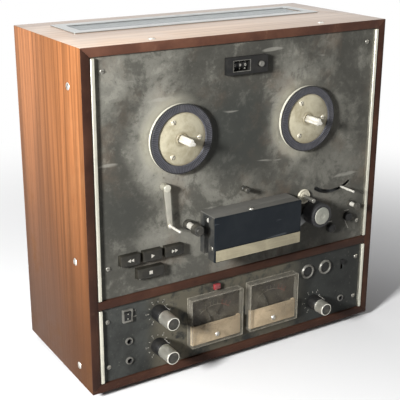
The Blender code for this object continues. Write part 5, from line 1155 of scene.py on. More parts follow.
class TAPEDECK_OT_cabinet(Piece, bpy.types.Operator):
    """Build the walnut boards, the rail between the panels and their screws"""

    bl_idname = "tapedeck.cabinet"
    bl_label = "Cabinet"

    def execute(self, context):
        edge = context.scene.tape_deck_details.board_edge
        right, top, seam = WIDTH / 2, HEIGHT, SEAM
        for side, sign in (("left", -1), ("right", 1)):
            board = Form()
            ends = [(sign * right, seam), (sign * INNER_X, BOARD + seam)]
            ends += [(sign * INNER_X, top - BOARD - seam), (sign * right, top - seam)]
            mitred(board, finish_of(walnut, "z", 1.0, "walnut_side"), ends, edge)
            board.repaint(walnut_edge, Vector((0, 0, 1)), PANEL_RECESS)
            board.repaint(walnut_edge, Vector((-sign, 0, 0)), -INNER_X)
            stands_for = ("cabinet",) if sign < 0 else ()
            board.made(f"cabinet_{side}_board", stands_for=stands_for, slot="walnut")
        bottom = Form()
        ends = [(-right + seam, 0), (right - seam, 0), (INNER_X - seam, BOARD), (-INNER_X + seam, BOARD)]
        mitred(bottom, finish_of(walnut, "x", 0.7, "walnut_bottom"), ends, edge)
        bottom.repaint(walnut_edge, Vector((0, 0, 1)), PANEL_RECESS)
        bottom.repaint(walnut_edge, Vector((0, 1, 0)), BOARD)
        bottom.made("cabinet_bottom_board", slot="walnut")
        self.top_board(edge)
        rail = Form()
        low = (-INNER_X, RAIL_BOTTOM, PANEL_RECESS - RAIL_DEPTH)
        high = (INNER_X, RAIL_TOP, PANEL_RECESS - edge / 3)
        rail.block(walnut_edge, low, high, edge)
        rail.made("divider_rail", slot="walnut")
        self.screws()
        return {"FINISHED"}

    def top_board(self, edge):
        """The top board, with the opening under the grille through it."""
        board = Form(front=False)
        low_z, high_z = BASE_Z + HEIGHT - BOARD, BASE_Z + HEIGHT
        vent_front = FRONT_Y + GRILLE_FRONT + VENT_LIP
        vent_back = FRONT_Y + GRILLE_FRONT + GRILLE_WIDTH - VENT_LIP
        vent_x = GRILLE_LENGTH / 2 - VENT_LIP
        outline = rectangle(0, FRONT_Y + DEPTH / 2, WIDTH - 2 * SEAM, DEPTH)
        hole = rectangle(0, (vent_front + vent_back) / 2, 2 * vent_x, vent_back - vent_front)
        shape = sheet_shape([outline, hole], low_z, high_z)
        for vert in shape.verts:
            if vert.co.z < high_z - BOARD / 2 and abs(vert.co.x) > INNER_X:
                vert.co.x = math.copysign(INNER_X, vert.co.x)
        soften(shape, edge)
        board.add(shape, veneer_top)
        # Painted light: the top board's edge is made 2.3 times lighter, as if lit from above.
        board.repaint(finish_of(walnut_edge, "walnut_edge_top", 2.3), Vector((0, -1, 0)), -FRONT_Y)
        board.made("cabinet_top_board", slot="walnut")

    def screws(self):
        heads = Form(front=False)
        for sign in (-1, 1):
            outward = Matrix.Rotation(sign * math.pi / 2, 4, "Y")
            for z in SIDE_SCREWS:
                spot = (sign * WIDTH / 2, FRONT_Y + SIDE_SCREW_DEPTH, BASE_Z + z)
                place = Matrix.Translation(spot) @ outward
                slotted_screw(heads, place, SIDE_SCREW_RADIUS, turn=z * 40, finish=bright_screw)
        for x, depth in TOP_SCREWS:
            spot = (x, FRONT_Y + depth, BASE_Z + HEIGHT)
            place = Matrix.Translation(spot)
            slotted_screw(heads, place, TOP_SCREW_RADIUS, turn=x * 30, finish=bright_screw)
        heads.made("cabinet_screws", slot="steel")


class TAPEDECK_OT_feet(Piece, bpy.types.Operator):
    """Build the four rubber feet, each with a recess in its underside"""

    bl_idname = "tapedeck.feet"
    bl_label = "Feet"

    def execute(self, context):
        for node in ("front_left_foot", "front_right_foot", "rear_left_foot", "rear_right_foot"):
            low, high = (Vector(corner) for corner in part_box(node))
            x, y, radius = (low.x + high.x) / 2, (low.y + high.y) / 2, (high.x - low.x) / 2
            profile = [(0, low.z + 0.004), (radius * 0.35, low.z + 0.004), (radius * 0.38, low.z)]
            profile += [(radius * 0.86, low.z), (radius, (low.z + high.z) / 2), (radius, high.z), (0, high.z)]
            foot = Form(front=False)
            foot.turned(rubber, profile, x, y, steps=48, soft=0.0008)
            foot.made(node + "_rubber", stands_for=(node,), slot="rubber")
        return {"FINISHED"}


class TAPEDECK_OT_grille(Piece, bpy.types.Operator):
    """Build the silver frame in the top and the wire mesh inside it"""

    bl_idname = "tapedeck.grille"
    bl_label = "Top grille"

    def execute(self, context):
        low, high = (Vector(corner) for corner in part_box("top_grille"))
        middle = (low.y + high.y) / 2
        frame_form = Form(front=False)
        outer = soft_rectangle(0, middle, GRILLE_LENGTH, GRILLE_WIDTH, 0.003, 5)
        inner = soft_rectangle(0, middle, MESH_LENGTH, MESH_WIDTH, 0.002, 5)
        frame_form.sheet(grille_metal, [outer, inner], low.z, high.z, 0.0003)
        frame_form.made("grille_frame", stands_for=("top_grille",), slot="silver")
        mesh_form = Form(front=False)
        pitch = context.scene.tape_deck_details.mesh_pitch
        half = pitch * WIRE_SHARE
        reach_x, reach_y = MESH_LENGTH / 2 + MESH_HIDDEN, MESH_WIDTH / 2 + MESH_HIDDEN
        count = int(MESH_LENGTH / pitch)
        for i in range(count):
            x = (i - (count - 1) / 2) * pitch
            block_low = (x - half, middle - reach_y, low.z - 0.001)
            mesh_form.block(mesh_wire, block_low, (x + half, middle + reach_y, low.z - 0.0003))
        count = int(MESH_WIDTH / pitch)
        for i in range(count + 1):
            y = middle + (i - count / 2) * pitch
            block_low = (-reach_x, y - half, low.z - 0.0018)
            mesh_form.block(mesh_wire, block_low, (reach_x, y + half, low.z - 0.0011))
        mesh_form.made("grille_mesh", slot="silver")
        return {"FINISHED"}


def plate_outline(low, high):
    return rectangle(0, (low + high) / 2, 2 * (INNER_X - PLATE_MARGIN), high - low - 2 * PLATE_MARGIN)


class TAPEDECK_OT_deck_plate(Piece, bpy.types.Operator):
    """Build the upper panel with its shallow dishes, holes, trims, screws and cue post"""

    bl_idname = "tapedeck.deck_plate"
    bl_label = "Deck plate"

    def execute(self, context):
        plate = Form()
        outlines = [plate_outline(RAIL_TOP, DECK_TOP)]
        outlines += [circle(x, REEL_Z, COLLAR_RADIUS + COLLAR_SEAM, 96) for _, x in REELS]
        outlines.append(circle(*CAPSTAN, 0.0073))
        outlines.append(circle(*LEFT_ARM, 0.0043))
        outlines.append(circle(*PINCH_PIVOT, 0.0033))
        swing = (-ARC_SLOT_HALF, ARC_SLOT_HALF)
        outlines.append(arc_slot(RIGHT_ARM, RIGHT_ARM_LENGTH, ARC_SLOT_WIDTH, *swing))
        for _, x, y, width in KEYS:
            outlines.append(soft_rectangle(x, y, width + KEY_CLEARANCE, KEY_HEIGHT + KEY_CLEARANCE, 0.0008))
        outlines += [circle(x, y, MODE_RADIUS + 0.0004) for _, x, y in MODE_BUTTONS]
        outlines.append(rectangle(WINDOW_X, COUNTER[1], 0.0258, 0.0158))
        outlines.append(circle(RESET_X, COUNTER[1], RESET_RADIUS + 0.0004))
        outlines.append(circle(*GUIDE_HOLE, 0.0013, 16))
        plate.sheet(stained_paint, outlines, -PLATE, 0)
        for _, x in REELS:
            profile = [(HUB_RADIUS + GAP, -PLATE), (HUB_RADIUS + GAP, -RECESS_DEPTH)]
            profile += [(RECESS_RADIUS - RECESS_SLOPE, -RECESS_DEPTH), (RECESS_RADIUS, 0)]
            profile += [(COLLAR_RADIUS, 0), (COLLAR_RADIUS, -PLATE), profile[0]]
            plate.turned(stained_paint, profile, x, REEL_Z, steps=96)
        self.trims_and_screws(plate)
        plate.made("deck_plate_painted", stands_for=("deck_plate",), slot="deck_grey")
        return {"FINISHED"}

    def trims_and_screws(self, plate):
        side_trims(plate, RAIL_TOP, DECK_TOP)
        for x, y in DECK_SCREWS:
            slotted_screw(plate, lifted(x, y), turn=x * 17)
        profile = [(0, 0.0130), (0.0030, 0.0130), (0.0036, 0.0122), (0.0036, 0.0092), (0.0028, 0.0084)]
        profile += [(0.0028, 0.0046), (0.0036, 0.0040), (0.0036, -PLATE / 2), (0, -PLATE / 2)]
        plate.turned(dark_face, profile, *CUE_POST, steps=40, soft=0.0003)


def side_trims(form, low, high):
    """The pale extruded strips down both sides of a panel."""
    metal = trim_metal
    for sign in (-1, 1):
        x = sign * (INNER_X - 0.0006 - TRIM_WIDTH / 2)
        middle, length = (low + high) / 2, high - low - 0.002
        form.panel(metal, x, middle, TRIM_WIDTH, length, -PLATE / 2, TRIM_PROUD, 0.0011, 3)


class TAPEDECK_OT_reel_tables(Piece, bpy.types.Operator):
    """Build both reel tables with their ribbed rims, cream discs, lobed spindles and turning tips"""

    bl_idname = "tapedeck.reel_tables"
    bl_label = "Reel tables"

    def execute(self, context):
        for name, x in REELS:
            self.table(name, x)
            self.tip(name, x)
        return {"FINISHED"}

    def table(self, name, x):
        table = Form()
        ribs = bpy.context.scene.tape_deck_details.table_ribs
        ring, disc = finish_of(table_ring, x), finish_of(cream_disc, x)
        edge = TABLE_RADIUS - 0.0014
        rim = [(edge, TABLE_FACE - 0.0003), (TABLE_RADIUS, TABLE_FACE - 0.0009)]
        rim.append((TABLE_RADIUS, TABLE_FACE - 0.0022))
        table.turned(rubber, rim, x, REEL_Z, steps=96)
        skirt = [(TABLE_RADIUS, TABLE_FACE - 0.0022), (TABLE_RADIUS, TABLE_BACK + 0.0006), (edge, TABLE_BACK)]
        table.turned(skirt_metal, skirt, x, REEL_Z, steps=96)
        face = [(edge, TABLE_FACE - 0.0003), (edge - 0.0004, TABLE_FACE), (DISC_RADIUS + 0.0010, TABLE_FACE)]
        face[2:2] = [(edge - 0.0014, TABLE_FACE), (DISC_RADIUS + 0.0022, TABLE_FACE)]
        face += [(DISC_RADIUS + 0.0002, TABLE_FACE - 0.0006), (DISC_RADIUS, DISC_FACE)]
        table.add(self.ribbed(face, ribs), ring, lifted(x, REEL_Z))
        top = [(DISC_RADIUS, DISC_FACE), (DISC_RADIUS - 0.0010, DISC_FACE)]
        top += [(DISC_RADIUS - 0.0016, DISC_FACE + 0.0003), (0.0076, DISC_FACE + 0.0003)]
        top += [(0.0072, DISC_FACE + 0.0009), (0.0062, DISC_FACE + 0.0009)]
        top += [(0.0060, DISC_FACE), (0, DISC_FACE)]
        table.turned(disc, top, x, REEL_Z, steps=96)
        under = [(edge, TABLE_BACK), (HUB_RADIUS, TABLE_BACK), (HUB_RADIUS, -0.0162), (0.0040, -0.0162)]
        under += [(0.0040, -0.0366), (0, -0.0366)]
        table.turned(steel_sheet, under, x, REEL_Z, steps=64)
        metal = polished_metal
        table.sheet(metal, [lobes(x, REEL_Z)], DISC_FACE - 0.001, SPINDLE_TIP, 0.0003)
        stem = [(0, 0.0272), (0.0018, 0.0270), (0.0018, 0.0200), (0, 0.0200)]
        table.turned(metal, stem, x, REEL_Z, steps=24)
        for i in range(3):
            a = DISC_SCREW_TURN + 2 * math.pi * i / 3
            spot = (x + DISC_SCREW_CIRCLE * math.cos(a), REEL_Z + DISC_SCREW_CIRCLE * math.sin(a))
            place = lifted(*spot, DISC_FACE + 0.0003)
            slotted_screw(table, place, DISC_SCREW_RADIUS, DISC_SCREW_HEAD, a, bush_bronze)
        body = f"{name}_reel_table"
        table.made(f"{name}_table_dressed", body, (body,), "cream")

    def ribbed(self, face, ribs):
        """The rim's face, whose middle band is pressed into radial ribs."""
        shape = turned_shape(face, ribs * 4)
        for vert in shape.verts:
            if DISC_RADIUS + 0.0020 < vert.co.xy.length < TABLE_RADIUS - 0.0020:
                vert.co.z += 0.0002 * math.cos(ribs * math.atan2(vert.co.y, vert.co.x)) - 0.0002
        return shape

    def tip(self, name, x):
        """The spindle's tip, rounded at its nose and drawn in at its collar."""
        tip = Form()
        metal = polished_metal
        start = SPINDLE_TIP + GAP
        tip.sheet(metal, [lobes(x, REEL_Z, -0.0003), circle(x, REEL_Z, CAP_BORE, 24)], start, start + 0.0007)
        end = start + CAP_LENGTH
        tip.sheet(metal, [lobes(x, REEL_Z)], end - 0.0008, end, 0.0007)
        tip.sheet(metal, [lobes(x, REEL_Z), circle(x, REEL_Z, CAP_BORE, 24)], start + 0.0007, end - 0.0008)
        body = f"{name}_spindle_cap"
        tip.made(f"{name}_spindle_tip", body, (body,), "silver")


class TAPEDECK_OT_counter(Piece, bpy.types.Operator):
    """Build the tape counter, its three numbered wheels and its reset button"""

    bl_idname = "tapedeck.counter"
    bl_label = "Tape counter"

    def execute(self, context):
        x, y = COUNTER
        width, height = COUNTER_SIZE
        shell = Form()
        plastic = black_plastic
        outer = soft_rectangle(x, y, width, height, 0.0012, 4)
        window = rectangle(WINDOW_X, y, *WINDOW_SIZE)
        reset = circle(RESET_X, y, RESET_RADIUS + 0.0004, 32)
        shell.sheet(plastic, [outer, window, reset], GAP, COUNTER_PROUD, 0.0005)
        rim = [rectangle(WINDOW_X, y, WINDOW_SIZE[0] + 0.0016, WINDOW_SIZE[1] + 0.0016), window]
        shell.sheet(dull_metal, rim, COUNTER_PROUD, COUNTER_PROUD + 0.0003)
        for sign in (-1, 1):
            cheek_x = WINDOW_X + sign * 0.0120
            shell.panel(plastic, cheek_x, y, 0.0012, 0.0060, -0.0095, 0.0030)
        across = Matrix.Rotation(math.pi / 2, 4, "Y")
        axle = lifted(WINDOW_X, y, -DIGIT_DROP) @ across
        shell.turned(screw_metal, peg(0.0012, 0.0122, -0.0122), steps=16, matrix=axle)
        shell.made("counter_shell", stands_for=("counter_housing",), slot="black_plastic")
        for i in range(3):
            self.wheel(i, WINDOW_X + (i - 1) * DIGIT_PITCH, y)
        button = Form()
        profile = [(0, RESET_PROUD - 0.0003), (0.0018, RESET_PROUD), (RESET_RADIUS, RESET_PROUD - 0.0002)]
        profile += [(RESET_RADIUS, -0.0070), (0, -0.0070)]
        button.turned(dull_metal, profile, RESET_X, y, steps=40, soft=0.0006)
        button.made("counter_reset_button", "counter_reset", ("counter_reset",), "silver")
        return {"FINISHED"}

    def wheel(self, index, x, y):
        """One wheel with its ten digits standing just proud of its rim."""
        wheel = Form()
        across = Matrix.Rotation(math.pi / 2, 4, "Y")
        half = DIGIT_WIDTH / 2
        profile = [(0.0015, half), (DIGIT_RADIUS - 0.0003, half), (DIGIT_RADIUS - 0.0001, half - 0.0004)]
        profile += [(DIGIT_RADIUS - 0.0001, 0.0004 - half), (DIGIT_RADIUS - 0.0003, -half), (0.0015, -half)]
        profile.append(profile[0])
        centre = lifted(x, y, -DIGIT_DROP)
        wheel.turned(black_plastic, profile, steps=60, matrix=centre @ across)
        for digit in range(10):
            tilt = Matrix.Rotation(-2 * math.pi * digit / 10, 4, "X")
            face = centre @ tilt @ Matrix.Translation((0, 0, DIGIT_RADIUS - 0.00008))
            wheel.words(pale_ink, str(digit), 0.0050, face)
        body = f"counter_wheel_{index + 1}"
        wheel.made(f"{body}_numbered", body, (body,), "black_plastic")


class TAPEDECK_OT_tension_arms(Piece, bpy.types.Operator):
    """Build the left tension arm on the panel and the right one, whose pin stands in the curved slot"""

    bl_idname = "tapedeck.tension_arms"
    bl_label = "Tension arms"

    def execute(self, context):
        arm, pin = arm_metal, polished_metal
        left = Form()
        boss = [(0, 0.0108), (0.0026, 0.0110), (0.0047, 0.0104), (0.0047, GAP), (SHAFT_RADIUS, GAP)]
        boss += [(SHAFT_RADIUS, SHAFT_END), (0, SHAFT_END)]
        left.turned(trim_metal, boss, *LEFT_ARM, steps=48, soft=0.0004)
        tip = arm_end(LEFT_ARM, LEFT_ARM_LENGTH, LEFT_ARM_ANGLE)
        left.sheet(arm, [capsule(LEFT_ARM, tip, 0.0090, 0.0066)], 0.0058, 0.0083, 0.0005)
        post = [(0, 0.0320), (ARM_PIN, 0.0318), (ARM_PIN, 0.0100)]
        post += [(0.0024, 0.0098), (0.0024, 0.0072), (0, 0.0072)]
        left.turned(pin, post, *tip, steps=32, soft=0.0003)
        left.made("left_arm", "left_tension_arm", ("left_tension_arm",), "silver")
        right = Form()
        tip = arm_end(RIGHT_ARM, RIGHT_ARM_LENGTH, RIGHT_ARM_ANGLE)
        steel = steel_sheet
        right.sheet(steel, [capsule(RIGHT_ARM, tip, 0.0128, 0.0062)], -0.0085, -0.0060, 0.0004)
        right.turned(steel, peg(SHAFT_RADIUS, -0.0070, SHAFT_END), *RIGHT_ARM, steps=40)
        post = [(0, 0.0250), (ARM_PIN, 0.0248), (ARM_PIN, -0.0072), (0, -0.0072)]
        right.turned(pin, post, *tip, steps=32, soft=0.0003)
        right.made("right_arm", "right_tension_arm", ("right_tension_arm",), "silver")
        return {"FINISHED"}


def guide_post(form, x, y, foot, core, cap, base):
    """A tape guide with its flanges, each a (radius, front) pair."""
    metal, dark = polished_metal, dark_face
    lower = [(foot[0], foot[1]), (foot[0], base), (0, base)]
    form.turned(dark, [(core[0], foot[1])] + lower, x, y, steps=48)
    form.turned(metal, [(core[0], core[1]), (core[0], foot[1])], x, y, steps=48)
    upper = [(0, cap[1]), (cap[0] * 0.45, cap[1]), (cap[0] * 0.5, cap[1] - 0.0006)]
    upper += [(cap[0] * 0.8, cap[1] - 0.0003), (cap[0], cap[1] - 0.0010)]
    upper += [(cap[0], core[1] + 0.0004), (core[0], core[1])]
    form.turned(dark, upper, x, y, steps=48)


class TAPEDECK_OT_guides(Piece, bpy.types.Operator):
    """Build the fixed guide posts to the left and right of the heads"""

    bl_idname = "tapedeck.guides"
    bl_label = "Guide posts"

    def execute(self, context):
        left = Form()
        guide_post(left, *LEFT_GUIDE, (0.0062, 0.0060), (0.0042, 0.0190), (0.0068, 0.0300), GAP)
        left.made("left_guide_post", stands_for=("left_guide",), slot="silver")
        right = Form()
        guide_post(right, *RIGHT_GUIDE, (0.0050, 0.0030), (0.0030, 0.0130), (0.0050, 0.0170), GAP)
        right.made("right_guide_post", stands_for=("right_guide",), slot="silver")
        return {"FINISHED"}


class TAPEDECK_OT_head_housing(Piece, bpy.types.Operator):
    """Build the head housing with its tape slot, the heads in it, the cover and its bare strip"""

    bl_idname = "tapedeck.head_housing"
    bl_label = "Head housing"

    def execute(self, context):
        self.back()
        self.heads()
        self.cover()
        return {"FINISHED"}

    def back(self):
        back = Form()
        paint = housing_paint
        bottom, top = HOUSING_BOTTOM + 0.004, HOUSING_TOP
        side = [(GAP, bottom), (HOUSING_BACK, bottom), (HOUSING_BACK, top - ROOF)]
        side += [(COVER_BACK - GAP, top - ROOF), (COVER_BACK - GAP, top), (GAP, top)]
        along = Matrix(((0, 0, 1, HOUSING_X), (0, 1, 0, 0), (1, 0, 0, 0), (0, 0, 0, 1)))
        outline = rounded(side, 0.0005, 2, closed=True)
        back.sheet(paint, [outline], -HOUSING_WIDTH / 2, HOUSING_WIDTH / 2, matrix=along)
        for x in SLOT_GUIDES:
            pin = [(0.0036, COVER_BACK - GAP), (0.0036, HOUSING_BACK)]
            back.turned(polished_metal, pin, x, GUIDE_LINE, steps=32)
        back.made("head_housing_back", stands_for=("head_housing",), slot="housing_grey")

    def heads(self):
        """Three mumetal-cased heads that face the tape below them, on one bar."""
        heads = Form()
        metal = polished_metal
        top = HOUSING_TOP - ROOF - GAP
        heads.block(steel_sheet, (-0.0470, top - 0.0025, 0.01015), (0.0430, top, 0.01815), 0.0002)
        for x in HEADS:
            outline = [(x - 0.006, top - 0.001), (x - 0.006, HEAD_LINE + 0.003)]
            for a in arc(0, math.pi, 14)[1:-1]:
                outline.append((x - 0.006 * math.cos(a), HEAD_LINE + 0.003 * (1 - math.sin(a))))
            outline += [(x + 0.006, HEAD_LINE + 0.003), (x + 0.006, top - 0.001)]
            heads.sheet(metal, [outline], 0.0108, 0.0175, 0.0002)
        heads.made("heads_on_bar", stands_for=("tape_heads",), slot="silver")

    def cover(self):
        cover = Form()
        paint, face = housing_paint, cover_front
        middle = (HOUSING_TOP + HOUSING_BOTTOM) / 2
        height = HOUSING_TOP - HOUSING_BOTTOM
        outer = soft_rectangle(HOUSING_X, middle, HOUSING_WIDTH, height, 0.0008)
        wall = rectangle(HOUSING_X, middle, HOUSING_WIDTH - 0.004, height - 0.004)
        cover.sheet(paint, [outer, wall], COVER_BACK, COVER_FRONT - 0.002)
        cover.sheet(face, [outer], COVER_FRONT - 0.002, COVER_FRONT - 0.0003, 0.0004)
        strip_top = HOUSING_BOTTOM + STRIP_MARGIN + STRIP_HEIGHT
        pane_middle = (strip_top + HOUSING_TOP) / 2
        pane = soft_rectangle(
            HOUSING_X, pane_middle, HOUSING_WIDTH - 0.0020, HOUSING_TOP - strip_top - 0.0016, 0.0005, 2)
        cover.sheet(face, [pane], COVER_FRONT - 0.0004, COVER_FRONT)
        spot = Matrix.Rotation(-math.pi / 2, 4, "X")
        place = lifted(COVER_SCREW_X, HOUSING_TOP, COVER_SCREW_OUT) @ spot
        slotted_screw(cover, place, turn=0.2, finish=bright_screw)
        spot = Matrix.Rotation(-math.pi / 2, 4, "Y")
        place = lifted(HOUSING_LEFT, HOUSING_BOTTOM + COVER_SCREW_RISE, COVER_SCREW_OUT) @ spot
        slotted_screw(cover, place, turn=0.7)
        cover.made("head_cover_shell", stands_for=("head_cover",), slot="housing_grey")
        strip = Form()
        middle = HOUSING_BOTTOM + STRIP_MARGIN + STRIP_HEIGHT / 2
        width = HOUSING_WIDTH - 2 * STRIP_MARGIN
        outline = soft_rectangle(HOUSING_X, middle, width, STRIP_HEIGHT, 0.0004, 2)
        strip.sheet(strip_metal, [outline], COVER_FRONT + GAP, COVER_FRONT + GAP + 0.0006, 0.00015)
        strip.made("bare_strip", stands_for=("head_cover_strip",), slot="champagne")


class TAPEDECK_OT_capstan(Piece, bpy.types.Operator):
    """Build the capstan's bearing, its shaft and flywheel, and the pinch roller on its arm"""

    bl_idname = "tapedeck.capstan"
    bl_label = "Capstan and pinch roller"

    def execute(self, context):
        bush = Form()
        profile = [(BUSH_BORE, 0.0030), (0.0060, 0.0030), (0.0066, 0.0024), (0.0080, 0.0024)]
        profile += [(0.0092, 0.0028), (0.0100, 0.0020), (0.0100, GAP), (0.0070, GAP), (0.0070, BUSH_END)]
        profile += [(BUSH_BORE, BUSH_END), profile[0]]
        bush.turned(bush_bronze, profile, *CAPSTAN, steps=72)
        bush.made("capstan_bearing", stands_for=("capstan_bush",), slot="cream")
        _, high = (Vector(corner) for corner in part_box("capstan"))
        back = PANEL_Y - high.y
        shaft = Form()
        profile = [(0, 0.0230), (0.0024, 0.0230), (0.0030, 0.0224), (0.0030, -0.0860)]
        profile += [(FLYWHEEL_RIM, -0.0860), (FLYWHEEL_RIM, -0.0810), (FLYWHEEL_RADIUS, -0.0810)]
        profile += [(FLYWHEEL_RADIUS, back), (FLYWHEEL_RIM, back), (FLYWHEEL_RIM, -0.0920)]
        profile += [(FLYWHEEL_HUB, -0.0920), (FLYWHEEL_HUB, back), (0, back)]
        shaft.turned(screw_metal, profile, *CAPSTAN, steps=96, soft=0.0004)
        shaft.made("capstan_shaft", "capstan", ("capstan",), "steel")
        self.roller()
        arm = Form()
        arm.sheet(motor_paint, [capsule(PINCH_PIVOT, ROLLER, 0.0120, 0.0120)], GAP, 0.0033, 0.0005)
        arm.turned(post_metal, peg(0.0025, 0.0240, 0.0018), *ROLLER, steps=24)
        pin = [(0, 0.0033), (0.0040, 0.0033), (0.0040, 0.0020)]
        pin += [(0.0030, 0.0018), (0.0030, SHAFT_END), (0, SHAFT_END)]
        arm.turned(screw_metal, pin, *PINCH_PIVOT, steps=32)
        arm.made("pinch_arm_blade", "pinch_arm", ("pinch_arm",), "steel")
        return {"FINISHED"}

    def roller(self):
        roller = Form()
        tyre = [(0.0124, 0.0248), (0.0148, 0.0250), (0.0162, 0.0238), (0.0162, 0.0044), (0.0154, 0.0036)]
        tyre += [(0.0028, 0.0036), (0.0028, 0.0243), (0.0120, 0.0243), (0.0124, 0.0248)]
        roller.turned(rubber, tyre, *ROLLER, steps=96, soft=0.0004)
        cap = [(0, 0.0252), (0.0030, 0.0252), (0.0034, 0.0255), (0.0112, 0.0255)]
        cap += [(0.0119, 0.0250), (0.0119, 0.0244), (0, 0.0244)]
        roller.turned(roller_cap, cap, *ROLLER, steps=96, soft=0.0003)
        roller.made("pinch_roller_capped", "pinch_roller", ("pinch_roller",), "rubber")


def triangle(x, y, width, height, point_left=False):
    tip = -width / 2 if point_left else width / 2
    return [(x - tip, y - height / 2), (x + tip, y), (x - tip, y + height / 2)]


class TAPEDECK_OT_keys(Piece, bpy.types.Operator):
    """Build the transport keys with their plain arrows, and the two round buttons beside the capstan"""

    bl_idname = "tapedeck.keys"
    bl_label = "Keys"

    def execute(self, context):
        for name, x, y, width in KEYS:
            self.key(name, x, y, width)
        for name, x, y in MODE_BUTTONS:
            self.button(name, x, y)
        return {"FINISHED"}

    def key(self, name, x, y, width):
        key = Form()
        plastic, ink = key_plastic, pale_ink
        key.panel(plastic, x, y, width, KEY_HEIGHT, -0.0090, KEY_PROUD, 0.0011, 3)
        key.panel(plastic, x, y, width + 0.0024, KEY_HEIGHT + 0.0024, -0.0040, -0.0028)
        low, high = KEY_PROUD - 0.00005, KEY_PROUD + 0.00008
        pair = (x - 0.0022, x + 0.0022)
        marks = {
            "key_rewind": [triangle(middle, y, 0.0040, 0.0044, True) for middle in pair],
            "key_play": [triangle(x, y, 0.0046, 0.0050)],
            "key_forward": [triangle(middle, y, 0.0040, 0.0044) for middle in pair],
            "key_stop": [rectangle(x, y, 0.0044, 0.0044)],
        }
        for mark in marks[name]:
            key.sheet(ink, [mark], low, high)
        key.made(f"{name}_cap", name, (name,), "black_plastic")

    def button(self, name, x, y):
        button = Form()
        profile = [(0, MODE_PROUD - 0.0004), (0.0034, MODE_PROUD - 0.0002), (0.0046, MODE_PROUD)]
        profile += [(MODE_RADIUS, MODE_PROUD - 0.0011), (MODE_RADIUS, -0.0028), (0.0070, -0.0028)]
        profile += [(0.0070, -0.0040), (MODE_RADIUS, -0.0040), (MODE_RADIUS, -0.0080), (0, -0.0080)]
        button.turned(black_plastic, profile, x, y, steps=48, soft=0.0004)
        button.made(f"{name}_cap", name, (name,), "black_plastic")


class TAPEDECK_OT_deck_marks(Piece, bpy.types.Operator):
    """Print the short lines by the round buttons and the faint triangles above the capstan and left arm"""

    bl_idname = "tapedeck.deck_marks"
    bl_label = "Deck marks"

    def execute(self, context):
        marks = Form()
        ink = pale_ink
        low, high = INK_BACK, INK_FRONT
        marks.sheet(ink, [capsule(*SLANTED_MARK, 0.0009, 0.0009)], low, high)
        for x, y in BUTTON_MARKS:
            marks.sheet(ink, [capsule((x - 0.0035, y), (x + 0.0035, y), 0.0007, 0.0007)], low, high)
        for x, y, left in POINTER_MARKS:
            marks.sheet(faded_ink, [triangle(x, y, 0.0026, 0.0030, left)], low, high)
        marks.made("deck_marks", slot="cream")
        return {"FINISHED"}


class TAPEDECK_OT_amplifier_plate(Piece, bpy.types.Operator):
    """Build the lower panel with its trims, screws, rocker frame and bezels, and its printed scales"""

    bl_idname = "tapedeck.amplifier_plate"
    bl_label = "Amplifier plate"

    def execute(self, context):
        plate = Form()
        outlines = [plate_outline(BOARD, RAIL_BOTTOM)]
        outlines.append(rectangle(*ROCKER, *ROCKER_HOLE))
        outlines += [circle(x, y, 0.0046, 40) for _, x, y in JACKS]
        outlines += [circle(x, y, 0.0058, 40) for x, y in KNOB_PLACES]
        outlines += [circle(x, y, 0.0080, 48) for _, x, y in RECORD_BUTTONS]
        outlines.append(soft_rectangle(*SLIDE, *SLIDE_SLOT, 0.0004, 2))
        outlines.append(circle(*LAMP, 0.0033, 24))
        outlines += [circle(x, METER_Y, 0.0183, 64) for _, x in METERS]
        plate.sheet(charcoal_paint, outlines, -PLATE, 0)
        side_trims(plate, BOARD, RAIL_BOTTOM)
        for x, y in AMPLIFIER_SCREWS:
            slotted_screw(plate, lifted(x, y), turn=x * 23 + y * 60)
        self.frames(plate)
        self.controls(plate)
        plate.made("amplifier_plate_painted", stands_for=("amplifier_plate",), slot="charcoal")
        self.scales()
        return {"FINISHED"}

    def frames(self, plate):
        metal = dull_metal
        outer = soft_rectangle(*ROCKER, *ROCKER_FRAME, 0.0009)
        inner = soft_rectangle(*ROCKER, *ROCKER_HOLE, 0.0003, 2)
        plate.sheet(metal, [outer, inner], 0, 0.0028, 0.0004)
        for _, x, y in RECORD_BUTTONS:
            ring = [(BEZEL_BORE, -PLATE), (BEZEL_BORE, 0.0020), (0.0081, 0.0028), (0.0094, 0.0028)]
            ring += [(BEZEL_RADIUS, 0.0014), (BEZEL_RADIUS, 0), (0.0080, 0), (0.0080, -PLATE), ring[0]]
            plate.turned(metal, ring, x, y, steps=72)

    def controls(self, plate):
        """The potentiometers behind the plate."""
        pot = [(0.0058, -PLATE), (0.0110, -PLATE), (0.0110, -0.0150), (0, -0.0150), (0, -0.0113)]
        pot += [(0.0038, -0.0113), (0.0038, -0.0083), (0.0058, -0.0083), pot[0]]
        for x, y in KNOB_PLACES:
            plate.turned(steel_sheet, pot, x, y, steps=40)

    def scales(self):
        """Ticks and numbers round the knobs, and ON and OFF at the rocker."""
        scale = Form()
        ink = pale_ink
        low, high = INK_BACK, INK_FRONT
        for x, y in KNOB_PLACES:
            for step in range(11):
                way = clockwise(math.radians(-150 + 30 * step))
                inner, outer = Vector((x, y)) + way * 0.0132, Vector((x, y)) + way * 0.0150
                scale.sheet(ink, [capsule(inner, outer, 0.0005, 0.0005, 4)], low, high)
                spot = Vector((x, y)) + way * 0.0172
                if step % 2 == 0:
                    scale.words(ink, str(step), 0.0028, lifted(spot.x, spot.y, high), depth=INK_DEPTH)
        x, y = ROCKER
        scale.words(ink, "ON", 0.0026, lifted(x + 0.0105, y + 0.0042, high), depth=INK_DEPTH)
        scale.words(ink, "OFF", 0.0026, lifted(x + 0.0110, y - 0.0042, high), depth=INK_DEPTH)
        scale.made("panel_scales", slot="cream")


